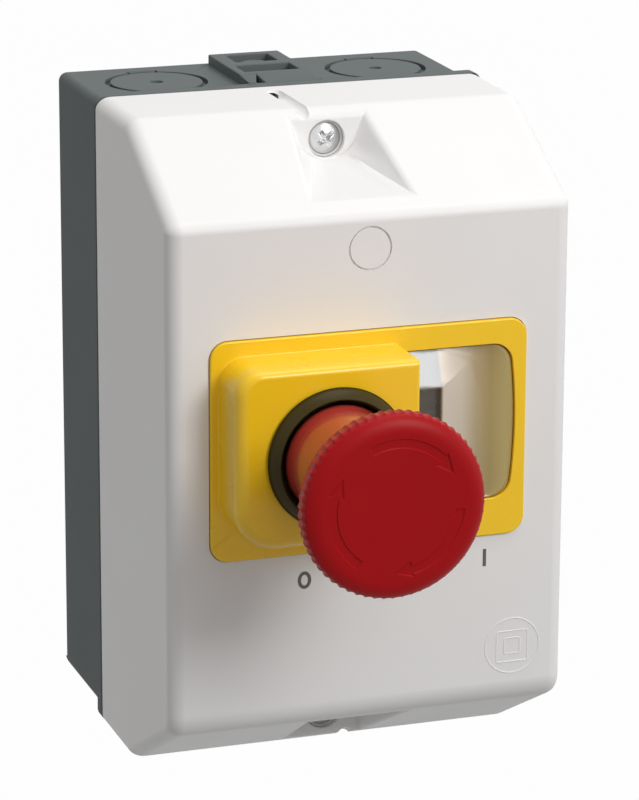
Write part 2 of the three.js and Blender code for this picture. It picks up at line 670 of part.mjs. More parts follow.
function startMembrane() {
  const flange = roundedSlab(lapLeft, lapRight, lapLow, lapHigh, membrane.flangeLap, membraneNear,
    insertBack - seatGap);
  let body = flange.add(pillow(membrane.gap, 0)).subtract(pillow(membrane.gap + membrane.wall,
    membrane.wall));
  for (const hole of clampHoles(membraneNear - overrun, insertBack + overrun,
    clamp.screwRadius + seatGap)) {
    body = body.subtract(hole);
  }
  return body;
}

add('start_membrane', shaped(startMembrane()), 'membrane');

function membraneClamp() {
  const pane = slab(windowOutline(membrane.gap), clampNear - overrun, membraneNear + overrun);
  let body = roundedSlab(lapLeft, lapRight, lapLow, lapHigh, membrane.flangeLap, clampNear,
    membraneNear - seatGap)
    .subtract(pane);
  for (const hole of clampHoles(clampNear - overrun, insertBack + overrun, clamp.screwRadius + seatGap)) {
    body = body.subtract(hole);
  }
  return body;
}

add('membrane_clamp', shaped(membraneClamp()), 'darkGrey');

for (const [column, x] of [['left', clampScrewX[0]], ['right', clampScrewX[1]]]) {
  for (const [row, z] of [['lower', paneLow - clamp.inset], ['upper', paneHigh + clamp.inset]]) {
    const screw = turned(x, z, [[0, clampNear - clamp.headHeight],
      [clamp.headRadius, clampNear - clamp.headHeight],
      [clamp.headRadius, clampNear], [clamp.screwRadius, clampNear],
      [clamp.screwRadius, insertBack - seatGap],
      [0, insertBack - seatGap]], smallSides / 2);
    add(`clamp_screw_${row}_${column}`, shaped(screw), 'steel');
  }
}

// Stop actuator: a collar through the plate's box, its seal and nut, and the head that is pressed and
// turned

const head = { rimRadius: 20, neckRadius: 11.9, neckBase: 11.8, skirtReach: 1.2, neckLength: 18.7, flare: 8,
  flareLength: 9.8, rimReach: 32.6, shoulder: 4.2, shoulderBack: 5.9, shoulderFront: 2.9,
  bore: 9.5, roof: 7.6, teeth: 62, toothHeight: 0.5 };
const arrow = { inner: 13.1, outer: 14.9, barb: 0.9, cut: 0.35, count: 3 };
const arrowTurn = { tail: 114 * Math.PI / 180, barb: 44 * Math.PI / 180, tip: 29 * Math.PI / 180 };
const arrowSteps = 5;
const flareSweep = 80 * Math.PI / 180;
const rimStart = -47 * Math.PI / 180;
const bandEnd = 31 * Math.PI / 180;
const stem = { radius: 5.5, shoulderRadius: 8.6, shoulderLift: 14.8, shoulderHeight: 2, gap: 0.3 };
const plunger = { radius: 4.6, pinLength: 3.1, flangeRadius: 8, flangeHeight: 2.6, drop: 2.4 };
const spring = { coilRadius: 7.4, wireRadius: 0.55, turns: 6, stepsPerTurn: 9 };

const floorFront = collarFloor + collar.floorThickness;
const collarFront = boxFace + collar.height;
const neckBack = collarFront - head.skirtReach;
const rimDepth = neckBack + head.rimReach;
const headFace = rimDepth + head.shoulderFront;
const headCeiling = headFace - head.roof;
const plungerFront = collarFloor - plunger.drop;
const plungerFlange = plungerFront - plunger.flangeHeight;
const plungerBack = plungerFlange - plunger.pinLength;

function collarRing() {
  const seat = boxFace + collar.seal;
  return turned(axis.x, axis.z, [[collar.tubeRadius, collarFloor], [collar.tubeRadius, seat],
    [collar.radius, seat],
    [collar.lipRadius, collarFront], [collar.bore, collarFront], [collar.bore, floorFront],
    [collar.stemBore, floorFront], [collar.stemBore, collarFloor]]);
}

add('stop_collar', shaped(collarRing()), 'black');
add('stop_collar_seal', shaped(flatRing(axis.x, axis.z, collar.radius - seatGap,
  collar.tubeRadius + seatGap,
  boxFace, boxFace + collar.seal, roundSides)), 'rubber');

const nutFace = boxFace - box.wall - collar.nutDrop;
const nutBack = nutFace - collar.nutHeight;
const nutBody = rod(axis.x, axis.z, collar.nutRadius, nutBack, nutFace, collar.nutSides)
  .subtract(rod(axis.x, axis.z, collar.tubeRadius + seatGap, nutBack - overrun, nutFace + overrun,
    roundSides));
add('stop_collar_nut', shaped(nutBody), 'black');

// A point of the rim's rounded shoulder, from behind the widest place at a negative angle to the face at a
// right angle
function shoulderPoint(angle) {
  const along = angle < 0 ? head.shoulderBack : head.shoulderFront;
  const radius = head.rimRadius - head.shoulder + head.shoulder * Math.cos(angle);
  return [radius, rimDepth + along * Math.sin(angle)];
}

// The head's side: a neck, an elliptical flare, the rounded rim and a flat face
function headProfile(steps) {
  const points = [[head.neckBase, neckBack]];
  for (let step = 0; step <= steps; step += 1) {
    const angle = flareSweep * step / steps;
    points.push([head.neckRadius + head.flare * (1 - Math.cos(angle)),
      neckBack + head.neckLength + head.flareLength * Math.sin(angle)]);
  }
  points.push(shoulderPoint(rimStart));
  for (let step = 0; step <= steps; step += 1) {
    points.push(shoulderPoint(bandEnd + (Math.PI / 2 - bandEnd) * step / steps));
  }
  points.push([0, headFace]);
  return points;
}

// The band of fine teeth that the hand grips: grooves that fade out at both ends
function rimTeeth(steps) {
  const columns = head.teeth * 2;
  const rings = [];
  for (let step = 0; step <= steps; step += 1) {
    const angle = rimStart + (bandEnd - rimStart) * step / steps;
    const groove = step > 0 && step < steps ? head.toothHeight : 0;
    const [outer, depth] = shoulderPoint(angle);
    const ring = [];
    for (let column = 0; column < columns; column += 1) {
      const turn = 2 * Math.PI * column / columns;
      const radius = outer - groove * (column % 2);
      ring.push([axis.x + radius * Math.cos(turn), -depth, axis.z + radius * Math.sin(turn)]);
    }
    rings.push(ring);
  }
  const [, back] = shoulderPoint(rimStart);
  const [, front] = shoulderPoint(bandEnd);
  return loft(rings, [axis.x, -back, axis.z], [axis.x, -front, axis.z]);
}

// One of the sunken arrows on the face, pointing the way the head turns
function faceArrow(turn) {
  const at = (radius, angle) => new THREE.Vector2(
    axis.x + radius * Math.cos(angle + turn), axis.z + radius * Math.sin(angle + turn));
  const points = [];
  for (let step = 0; step <= arrowSteps; step += 1) {
    points.push(at(arrow.outer, arrowTurn.barb + (arrowTurn.tail - arrowTurn.barb) * step / arrowSteps));
  }
  for (let step = 0; step <= arrowSteps; step += 1) {
    points.push(at(arrow.inner, arrowTurn.tail - (arrowTurn.tail - arrowTurn.barb) * step / arrowSteps));
  }
  points.push(at(arrow.inner - arrow.barb, arrowTurn.barb));
  points.push(at((arrow.inner + arrow.outer) / 2, arrowTurn.tip));
  points.push(at(arrow.outer + arrow.barb / 2, arrowTurn.barb));
  return slab(points, headFace - arrow.cut, headFace + overrun);
}

function mushroomHead() {
  const core = turned(axis.x, axis.z, [[0, neckBack], ...headProfile(cornerSteps)]);
  const bore = rod(axis.x, axis.z, head.bore, neckBack - overrun, headCeiling, roundSides);
  let body = core.add(rimTeeth(cornerSteps)).subtract(bore);
  for (let index = 0; index < arrow.count; index += 1) {
    body = body.subtract(faceArrow(2 * Math.PI * index / arrow.count));
  }
  return body;
}

add('mushroom_head', shaped(mushroomHead()), 'red');

const stemFront = headCeiling - seatGap;
const stemBack = plungerFront + stem.gap;
const springFront = floorFront + stem.shoulderLift;
const stemBody = turned(axis.x, axis.z, [[0, stemBack], [stem.radius, stemBack], [stem.radius, springFront],
  [stem.shoulderRadius, springFront], [stem.shoulderRadius, springFront + stem.shoulderHeight],
  [stem.radius, springFront + stem.shoulderHeight], [stem.radius, stemFront], [0, stemFront]], smallSides);
add('head_stem', shaped(stemBody), 'black');
add('plunger', shaped(turned(axis.x, axis.z, [[0, plungerBack], [plunger.radius, plungerBack],
  [plunger.radius, plungerFlange], [plunger.flangeRadius, plungerFlange],
  [plunger.flangeRadius, plungerFront], [0, plungerFront]], smallSides)), 'black');
add('return_spring', shaped(coil(axis.x, axis.z, spring.coilRadius, spring.wireRadius, floorFront + seatGap,
  springFront - seatGap, spring.turns, spring.stepsPerTurn)), 'steel');

// Rail across the back, two screws, and the earth terminal below it

function mountingRail() {
  const lips = [[railNear, -rail.halfInner], [railFace - rail.sheet, -rail.halfInner],
    [railFace - rail.sheet, -rail.halfWidth], [railFace, -rail.halfWidth],
    [railFace, rail.sheet - rail.halfInner],
    [railNear + rail.sheet, rail.sheet - rail.halfInner],
    [railNear + rail.sheet, rail.halfInner - rail.sheet],
    [railFace, rail.halfInner - rail.sheet], [railFace, rail.halfWidth],
    [railFace - rail.sheet, rail.halfWidth],
    [railFace - rail.sheet, rail.halfInner], [railNear, rail.halfInner]];
  let body = acrossWidth(lips, -railHalfLength, railHalfLength);
  for (const side of [-1, 1]) {
    body = body.subtract(rod(side * railScrewX, 0, rail.shankRadius + runGap, railNear - overrun,
      railFace));
  }
  return body;
}

add('din_rail', shaped(mountingRail()), 'zinc');
for (const [place, side] of [['left', -1], ['right', 1]]) {
  add(`rail_screw_${place}`, shaped(panScrew(side * railScrewX, 0, rail.screwRadius, rail.screwHead,
    rail.shankRadius,
    rail.screwTip, railNear + rail.sheet + seatGap)), 'zinc');
}

const earthFront = earthNear + seatGap + earth.thickness;
const earthBlock = block(earthX - earth.width / 2, earthX + earth.width / 2, earthZ - earth.height / 2,
  earthZ + earth.height / 2, earthNear + seatGap, earthFront)
  .subtract(rod(earthX, earthZ, earth.shankRadius + runGap, earthNear - overrun, earthFront + overrun))
  .subtract(uprightRod(earthX - earth.wireOffset, (earthNear + earthFront) / 2, earth.wireRadius,
    earthZ - earth.height, earthZ + earth.height));
add('earth_terminal', shaped(earthBlock), 'brass');
add('earth_screw', shaped(panScrew(earthX, earthZ, earth.screwRadius, earth.screwHead, earth.shankRadius,
  earth.tip,
  earthFront + seatGap)), 'zinc');

// The breaker: a back and a front case on the rail, three poles with a clamp and a screw at each end,
// a stop and a start button, a setting dial and a sprung foot under the rail's lower lip

const breaker = { x: -1, halfWidth: 22.25, halfHeight: 44.5, railLap: 5.1, joint: 48, shoulderHeight: 8,
  noseLow: -24,
  noseHigh: 27, edge: 1.2, hookReach: 2.4, railPlay: 0.4, clearance: 0.9 };
const pole = { pitch: 14.5, inset: 7.3, cavityHalf: 4.9, cavityLength: 14, cavityNear: 36, cavityFar: 46.4,
  screwBore: 3.4, headRadius: 2.9, headHeight: 2.2, headSeat: 50.2, shankRadius: 1.8, shankTip: 42.3 };
const clampBox = { gap: 0.4, inset: 1.3, wall: 1.3 };
const stopButtonSize = { halfWidth: 6, halfHeight: 9.5, radius: 1, gap: 0.4, length: 12.5, travel: 5 };
const stopButton = { ...stopButtonSize, left: axis.x - stopButtonSize.halfWidth,
  right: axis.x + stopButtonSize.halfWidth, front: plungerBack - stopButtonSize.gap };
const dial = { x: 4, z: -14, radius: 5.4, height: 3.4, gap: 0.3, slotHalf: 0.6, slotLengthShare: 0.75,
  slotDepth: 1 };
const foot = { x: -1, halfWidth: 6, behind: 0.4, thickness: 3.4, hold: 1.3, reach: 5.5, tab: 1.6 };

const breakerBack = railFace - breaker.railLap;
const noseDepth = clampNear - clamp.headHeight - breaker.clearance;
const dialFront = clampNear - clamp.headHeight - dial.gap;
const poleZ = breaker.halfHeight - pole.inset;
const lipBack = railFace - rail.sheet;

function terminalCavity(x, side) {
  const inner = breaker.halfHeight - pole.cavityLength;
  const ends = byHeight(side * inner, side * (breaker.halfHeight + overrun));
  return block(x - pole.cavityHalf, x + pole.cavityHalf, ends[0], ends[1], pole.cavityNear, pole.cavityFar);
}

const poles = [-1, 0, 1].map((index) => breaker.x + index * pole.pitch);

function breakerBackCase() {
  let body = block(breaker.x - breaker.halfWidth, breaker.x + breaker.halfWidth, -breaker.halfHeight,
    breaker.halfHeight, breakerBack, breaker.joint);
  const railHalf = rail.halfWidth + breaker.railPlay;
  const recess = block(-casingWidth, casingWidth, -railHalf, railHalf, breakerBack - overrun,
    railFace + seatGap);
  const hook = block(-casingWidth, casingWidth, railHalf - breaker.hookReach, railHalf,
    breakerBack - overrun,
    lipBack - seatGap);
  body = body.subtract(recess.subtract(hook));
  const channel = block(foot.x - foot.halfWidth - runGap, foot.x + foot.halfWidth + runGap,
    -breaker.halfHeight - overrun, -railHalf + overrun, breakerBack - overrun,
    lipBack - foot.behind + runGap);
  body = body.subtract(channel);
  for (const x of poles) {
    for (const side of [-1, 1]) {
      body = body.subtract(terminalCavity(x, side))
        .subtract(rod(x, side * poleZ, pole.shankRadius + runGap, pole.cavityFar - overrun,
          breaker.joint + overrun));
    }
  }
  return body;
}

add('breaker_back_case', shaped(breakerBackCase()), 'lightGrey');

function buttonShape(button, grow, nearWall, farDepth) {
  const half = button.halfHeight + grow;
  return roundedSlab(button.left - grow, button.right + grow, axis.z - half, axis.z + half,
    button.radius + grow,
    nearWall, farDepth);
}

function breakerFrontCase() {
  const near = breaker.joint + seatGap;
  const left = breaker.x - breaker.halfWidth;
  const right = breaker.x + breaker.halfWidth;
  const shoulder = breaker.joint + breaker.shoulderHeight;
  const profile = [[near, -breaker.halfHeight], [shoulder, -breaker.halfHeight],
    [shoulder, breaker.noseLow - breaker.edge], [noseDepth, breaker.noseLow],
    [noseDepth, breaker.noseHigh], [shoulder, breaker.noseHigh + breaker.edge],
    [shoulder, breaker.halfHeight], [near, breaker.halfHeight]];
  let body = acrossWidth(profile, left, right);
  for (const button of [stopButton, startButton]) {
    const floor = button.front - button.length - button.travel - runGap;
    body = body.subtract(buttonShape(button, runGap, floor, noseDepth + overrun));
  }
  body = body.subtract(rod(dial.x, dial.z, dial.radius + runGap, dialFront - dial.height - seatGap,
    noseDepth + overrun,
    roundSides));
  for (const x of poles) {
    for (const side of [-1, 1]) {
      body = body.subtract(rod(x, side * poleZ, pole.screwBore, pole.headSeat, shoulder + overrun))
        .subtract(rod(x, side * poleZ, pole.shankRadius + runGap, breaker.joint, pole.headSeat + overrun));
    }
  }
  return body;
}

add('breaker_front_case', shaped(breakerFrontCase()), 'lightGrey');
for (const [name, button, finish] of [['stop_button', stopButton, 'red'],
  ['start_button', startButton, 'black']]) {
  add(name, shaped(buttonShape(button, 0, button.front - button.length, button.front)), finish);
}

const slotReach = dial.radius * dial.slotLengthShare;
const dialBody = rod(dial.x, dial.z, dial.radius, dialFront - dial.height, dialFront, roundSides)
  .subtract(block(dial.x - slotReach, dial.x + slotReach, dial.z - dial.slotHalf, dial.z + dial.slotHalf,
    dialFront - dial.slotDepth, dialFront + overrun));
add('setting_dial', shaped(dialBody), 'lightGrey');

// The foot reaches up behind the rail's lower lip, and down past the case to a tab for the screwdriver
function railFoot() {
  const far = lipBack - foot.behind;
  const low = -breaker.halfHeight - foot.reach;
  const left = foot.x - foot.halfWidth;
  const right = foot.x + foot.halfWidth;
  return block(left, right, low, foot.hold - rail.halfWidth, far - foot.thickness, far)
    .subtract(block(left - overrun, right + overrun, low - overrun, low + foot.tab,
      far - foot.thickness - overrun,
      far - foot.thickness + foot.tab));
}

add('rail_foot', shaped(railFoot()), 'darkGrey');

poles.forEach((x, index) => {
  for (const [end, side] of [['line', 1], ['load', -1]]) {
    const clampLow = breaker.halfHeight - pole.cavityLength + clampBox.gap;
    const ends = byHeight(side * clampLow, side * (breaker.halfHeight - clampBox.inset));
    const half = pole.cavityHalf - clampBox.gap;
    const inner = half - clampBox.wall;
    const near = pole.cavityNear + clampBox.gap;
    const far = pole.cavityFar - clampBox.gap;
    const frame = block(x - half, x + half, ends[0], ends[1], near, far)
      .subtract(block(x - inner, x + inner, ends[0] - overrun, ends[1] + overrun, near + clampBox.wall,
        far - clampBox.wall))
      .subtract(rod(x, side * poleZ, pole.shankRadius + seatGap, far - 2 * clampBox.wall, far + overrun));
    add(`terminal_clamp_${end}_${index + 1}`, shaped(frame), 'brass');
    add(`terminal_screw_${end}_${index + 1}`,
      shaped(panScrew(x, side * poleZ, pole.headRadius, pole.headHeight,
      pole.shankRadius, pole.shankTip, pole.headSeat + seatGap)), 'zinc');
  }
});

export default motorBreaker;
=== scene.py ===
import math
from contextlib import contextmanager
import bpy
import bmesh
from mathutils import Matrix, Vector


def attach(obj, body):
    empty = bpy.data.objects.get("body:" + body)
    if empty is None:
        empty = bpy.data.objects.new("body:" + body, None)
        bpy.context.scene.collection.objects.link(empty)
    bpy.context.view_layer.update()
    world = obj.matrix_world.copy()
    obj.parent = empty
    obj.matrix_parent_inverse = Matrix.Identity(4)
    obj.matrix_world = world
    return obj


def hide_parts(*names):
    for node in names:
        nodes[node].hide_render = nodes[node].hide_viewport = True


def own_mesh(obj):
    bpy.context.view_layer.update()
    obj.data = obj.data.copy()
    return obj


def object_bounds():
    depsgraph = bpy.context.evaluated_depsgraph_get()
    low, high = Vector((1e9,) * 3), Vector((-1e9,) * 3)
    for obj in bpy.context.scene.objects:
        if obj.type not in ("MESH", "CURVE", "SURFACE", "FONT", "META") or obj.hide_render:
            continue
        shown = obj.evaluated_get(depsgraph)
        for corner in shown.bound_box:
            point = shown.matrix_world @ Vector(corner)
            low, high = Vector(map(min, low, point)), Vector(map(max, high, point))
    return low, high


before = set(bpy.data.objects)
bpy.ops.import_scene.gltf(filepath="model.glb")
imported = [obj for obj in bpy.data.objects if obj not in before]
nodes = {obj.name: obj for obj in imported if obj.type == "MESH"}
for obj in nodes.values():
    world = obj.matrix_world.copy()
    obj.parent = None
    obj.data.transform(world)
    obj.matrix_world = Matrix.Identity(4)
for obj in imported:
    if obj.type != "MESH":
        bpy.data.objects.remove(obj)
cadLow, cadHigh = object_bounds()
print("frame loaded:", len(nodes), "nodes")

mm = 0.001
up = Vector((0, 0, 1))
fullTurn = 2 * math.pi
quarterTurn = math.pi / 2


# mesh tools: points are (x, y, z) in millimetres, a depth d in front of the wall lies at y = -d

def addObject(name, data):
    obj = bpy.data.objects.new(name, data)
    bpy.context.scene.collection.objects.link(obj)
    return obj


def makeObject(name, points, faces):
    mesh = bpy.data.meshes.new(name)
    mesh.from_pydata([Vector(p) * mm for p in points], [], faces)
    mesh.update()
    return addObject(name, mesh)


# an object's mesh, open for changes
@contextmanager
def opened(obj):
    shape = bmesh.new()
    shape.from_mesh(obj.data)
    yield shape
    shape.to_mesh(obj.data)
    shape.free()


def fixNormals(obj):
    with opened(obj) as shape:
        bmesh.ops.remove_doubles(shape, verts=shape.verts, dist=1e-7)
        bmesh.ops.recalc_face_normals(shape, faces=shape.faces)
    return obj


def cutterFrom(shape):
    mesh = bpy.data.meshes.new("cutter")
    shape.to_mesh(mesh)
    shape.free()
    return fixNormals(addObject("cutter", mesh))


# rings of equal length joined into a skin, with an n-gon at each end unless the rings close on themselves
def loft(name, rings, closed=False):
    count = len(rings[0])
    points = [p for ring in rings for p in ring]
    faces = []
    last = len(rings) if closed else len(rings) - 1
    for r in range(last):
        here, there = r * count, ((r + 1) % len(rings)) * count
        for i in range(count):
            j = (i + 1) % count
            faces.append((here + i, here + j, there + j, there + i))
    if not closed:
        faces.append(tuple(range(count - 1, -1, -1)))
        faces.append(tuple(range(last * count, last * count + count)))
    return fixNormals(makeObject(name, points, faces))


def circle(a, b, radius, steps):
    angles = [fullTurn * i / steps for i in range(steps)]
    return [(a + radius * math.cos(angle), b + radius * math.sin(angle)) for angle in angles]


# a turned piece about a front-to-back axis, from (radius, depth) pairs; a radius of zero closes an end
def turned(name, x, z, profile, steps=96, closed=False):
    return loft(name, [[(a, -depth, b) for a, b in circle(x, z, max(radius, 1e-3), steps)]
                       for radius, depth in profile], closed)


def rodY(x, z, radius, near, far, steps=64):
    return turned("cutter", x, z, [(radius, near), (radius, far)], steps)


# a turned cutter about an upright axis, from (radius, height) pairs
def upright(x, depth, profile, steps, closed=False):
    return loft("cutter", [[(a, b, z) for a, b in circle(x, -depth, radius, steps)]
                           for radius, z in profile], closed)


def rodZ(x, depth, radius, low, high, steps=64):
    return upright(x, depth, [(radius, low), (radius, high)], steps)


def ringZ(x, depth, outer, inner, low, high, steps=96):
    return upright(x, depth, [(outer, low), (outer, high), (inner, high), (inner, low)], steps, True)


# a slot through a horizontal face, long from the back to the front
def slotZ(x, back, front, radius, low, high, steps=12):
    around = [(depth, math.pi * (first + i) / steps) for depth, first in ((back, 0), (front, steps))
              for i in range(steps + 1)]
    outline = [(x + radius * math.cos(angle), radius * math.sin(angle) - depth) for depth, angle in around]
    return loft("cutter", [[(a, b, z) for a, b in outline] for z in (low, high)])


# corners run from the lower left anticlockwise, each with its own radius
def roundedOutline(left, right, low, high, radii, steps=8):
    if not isinstance(radii, (list, tuple)):
        radii = [radii] * 4
    corners = [(left, low, 1, 1, 2), (right, low, -1, 1, 3), (right, high, -1, -1, 0), (left, high, 1, -1, 1)]
    points = []
    for (x, z, towardsX, towardsZ, quarter), radius in zip(corners, radii):
        for i in range(steps + 1):
            angle = (quarter + i / steps) * math.pi / 2
            points.append((x + towardsX * radius + radius * math.cos(angle),
                           z + towardsZ * radius + radius * math.sin(angle)))
    return points


def slab(name, outline, near, far):
    return loft(name, [[(x, -depth, z) for x, z in outline] for depth in (near, far)])


def block(left, right, low, high, near, far):
    return slab("cutter", [(left, low), (right, low), (right, high), (left, high)], near, far)


def hull(points):
    shape = bmesh.new()
    for p in points:
        shape.verts.new(Vector(p) * mm)
    bmesh.ops.convex_hull(shape, input=shape.verts)
    return cutterFrom(shape)


# a rod with round ends between two (x, depth, z) places
def capsule(near, far, radius, steps=32):
    points = []
    for x, depth, z in (near, far):
        for i in range(steps):
            for j in range(1, steps // 2):
                a, b = fullTurn * i / steps, fullTurn * j / steps
                points.append((x + radius * math.sin(b) * math.cos(a), radius * math.cos(b) - depth,
                               z + radius * math.sin(b) * math.sin(a)))
    return hull(points)


# a convex solid from half-spaces, each given by a point on its face and the direction that faces out
def halfSpaces(planes, reach=90):
    shape = bmesh.new()
    bmesh.ops.create_cube(shape, size=reach * 2 * mm)
    for point, outward in planes:
        every = shape.verts[:] + shape.edges[:] + shape.faces[:]
        cut = bmesh.ops.bisect_plane(shape, geom=every, plane_co=Vector(point) * mm, plane_no=Vector(outward),
                                     clear_outer=True, dist=1e-8)
        rim = [item for item in cut["geom_cut"] if isinstance(item, bmesh.types.BMEdge)]
        bmesh.ops.holes_fill(shape, edges=rim)
    return cutterFrom(shape)


# the evaluated mesh becomes the object's own
def settle(obj):
    bpy.context.view_layer.update()
    evaluated = obj.evaluated_get(bpy.context.evaluated_depsgraph_get())
    mesh = bpy.data.meshes.new_from_object(evaluated)
    obj.modifiers.clear()
    spent = obj.data
    obj.data = mesh
    bpy.data.meshes.remove(spent)
    return obj


def combine(obj, tools, operation):
    for tool in tools:
        step = obj.modifiers.new("step", "BOOLEAN")
        step.operation = operation
        step.solver = "EXACT"
        step.object = tool
        settle(obj)
        bpy.data.objects.remove(tool)
    return obj


def carve(obj, *tools):
    return combine(obj, tools, "DIFFERENCE")


def weld(obj, *tools):
    return combine(obj, tools, "UNION")


# loose pieces become one mesh
def mergeInto(obj, *others):
    with opened(obj) as shape:
        for other in others:
            shape.from_mesh(other.data)
    for other in others:
        bpy.data.objects.remove(other)
    return obj


def isSharp(edge, degrees):
    return len(edge.link_faces) == 2 and edge.calc_face_angle(0) >= math.radians(degrees)


# every sharp edge gets the rounding that widthAt gives for its middle, in millimetres
def soften(obj, widthAt, sharpDegrees=28, segments=3):
    layer = "bevel_weight_edge"
    with opened(obj) as shape:
        bmesh.ops.remove_doubles(shape, verts=shape.verts, dist=2e-6)
        bmesh.ops.triangulate(shape, faces=[face for face in shape.faces if len(face.verts) > 4],
                              ngon_method="BEAUTY")
        weights = shape.edges.layers.float.get(layer) or shape.edges.layers.float.new(layer)
        widest = 0.0
        for edge in shape.edges:
            if isSharp(edge, sharpDegrees):
                width = widthAt((edge.verts[0].co + edge.verts[1].co) / 2 / mm)
                edge[weights] = width
                widest = max(widest, width)
        for edge in shape.edges:
            edge[weights] = edge[weights] / widest if widest else 0
    bevel = obj.modifiers.new("rounding", "BEVEL")
    bevel.limit_method = "WEIGHT"
    bevel.width = widest * mm
    bevel.segments = segments
    bevel.use_clamp_overlap = False
    bevel.miter_outer = "MITER_ARC"
    return settle(obj)


# smooth faces with the sharp edges kept, and flat faces that shade flat
def smoothShade(obj, sharpDegrees=40):
    with opened(obj) as shape:
        for face in shape.faces:
            face.smooth = True
        for edge in shape.edges:
            edge.smooth = len(edge.link_faces) == 2 and not isSharp(edge, sharpDegrees)
    obj.modifiers.new("flat faces", "WEIGHTED_NORMAL").keep_sharp = True
    return obj


def finishPiece(obj, name, body, slotName, material, *replaced):
    obj.name = name
    obj.data.name = name
    obj.data.materials.clear()
    obj.data.materials.append(material)
    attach(obj, body)
    if replaced:
        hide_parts(*replaced)
    return obj


# camera: the photograph's own, fitted to the casing's edges
view = {"azimuth": -0.328, "elevation": 0.282, "roll": 0.004, "place": (-269.15, -844.095, 248.466),
        "focalPixels": 3867.625, "centreX": 311.642, "centreY": 392.608,
        "imageWidth": 639, "imageHeight": 800, "sensor": 36, "clipStart": 0.01}


def makeCamera():
    az, el, roll = view["azimuth"], view["elevation"], view["roll"]
    back = Vector((math.sin(az) * math.cos(el), -math.cos(az) * math.cos(el), math.sin(el)))
    level = up.cross(back).normalized()
    raised = back.cross(level)
    right = math.cos(roll) * level + math.sin(roll) * raised
    over = -math.sin(roll) * level + math.cos(roll) * raised
    data = bpy.data.cameras.new("camera")
    data.sensor_fit = "VERTICAL"
    data.sensor_height = data.sensor_width = view["sensor"]
    data.lens = view["focalPixels"] / view["imageHeight"] * view["sensor"]
    data.shift_x = (view["imageWidth"] / 2 - view["centreX"]) / view["imageHeight"]
    data.shift_y = (view["centreY"] - view["imageHeight"] / 2) / view["imageHeight"]
    data.clip_start = view["clipStart"]
    camera = addObject("camera", data)
    turn = Matrix((right, over, back)).transposed().to_4x4()
    camera.matrix_world = Matrix.Translation(Vector(view["place"]) * mm) @ turn
    bpy.context.scene.camera = camera


# node tools: an input that is given another node's socket is linked, any other value is set
def feed(tree, node, inputs):
    for name, value in inputs.items():
        if isinstance(value, bpy.types.NodeSocket):
            tree.links.new(value, node.inputs[name])
        else:
            node.inputs[name].default_value = value
    return node


def addNode(tree, kind, inputs=None, **settings):
    node = tree.nodes.new(kind)
    for name, value in settings.items():
        setattr(node, name, value)
    return feed(tree, node, inputs or {})


def calculate(tree, operation, *values):
    return addNode(tree, "ShaderNodeMath", dict(enumerate(values)), operation=operation).outputs[0]


# inputs are (label, kind, value) with the value left out where there is none, outputs (label, kind)
def newGroup(name, inputs, outputs, tree="ShaderNodeTree"):
    group = bpy.data.node_groups.new(name, tree)
    for side, sockets in (("INPUT", inputs), ("OUTPUT", outputs)):
        for label, kind, *value in sockets:
            socket = group.interface.new_socket(label, in_out=side, socket_type="NodeSocket" + kind)
            if value:
                socket.default_value = value[0]
    return group, group.nodes.new("NodeGroupInput").outputs


# a geometry group's last steps: its material set and its output made
def finished(group, last, material):
    step = addNode(group, "GeometryNodeSetMaterial", {"Geometry": last.outputs[0], "Material": material})
    addNode(group, "NodeGroupOutput", {0: step.outputs[0]})
    return group


# a geometry group run on an object: its inputs are set by their sockets' identifiers
def runGroup(obj, group, values):
    step = obj.modifiers.new(group.name, "NODES")
    step.node_group = group
    known = {item.name: item.identifier for item in group.interface.items_tree if item.in_out == "INPUT"}
    for label, value in values.items():
        step[known[label]] = value
    return settle(obj)


studio = {
    "ambient": 0.44,            # the room's even light on the object
    "lamps": (                  # name, place, width and height, watts
        ("top softbox", (0.15, -0.18, 0.92), (0.7, 0.6), 3.7),
        ("key softbox", (0.34, -0.82, 0.47), (0.34, 0.34), 3.95),
        ("right softbox", (1.1, -0.5, 0.2), (0.6, 0.9), 1.0)),
    "target": (0, -0.05, 0),    # what the lamps look at
    "floorDrop": 0.3,           # the object hangs on a wall, so the floor is well below it
    "floorSize": 8.0,
    "floorPale": 0.32,          # how much of the light the floor sends back on the object
    "floorGlow": 0.985,         # how far the floor shows as plain white to the camera
}


def makeLamp(name, place, size, watts):
    data = bpy.data.lights.new(name, "AREA")
    data.shape = "RECTANGLE"
    data.size, data.size_y = size
    data.energy = watts
    lamp = addObject(name, data)
    lamp.location = place
    lamp.rotation_euler = (Vector(studio["target"]) - Vector(place)).to_track_quat("-Z", "Y").to_euler()


# one where a ray comes from the camera or from a glossy or clear surface
def seenRays(tree):
    rays = addNode(tree, "ShaderNodeLightPath").outputs
    value = rays["Is Camera Ray"]
    for kind in ("Is Glossy Ray", "Is Transmission Ray"):
        value = calculate(tree, "MAXIMUM", value, rays[kind])
    return value


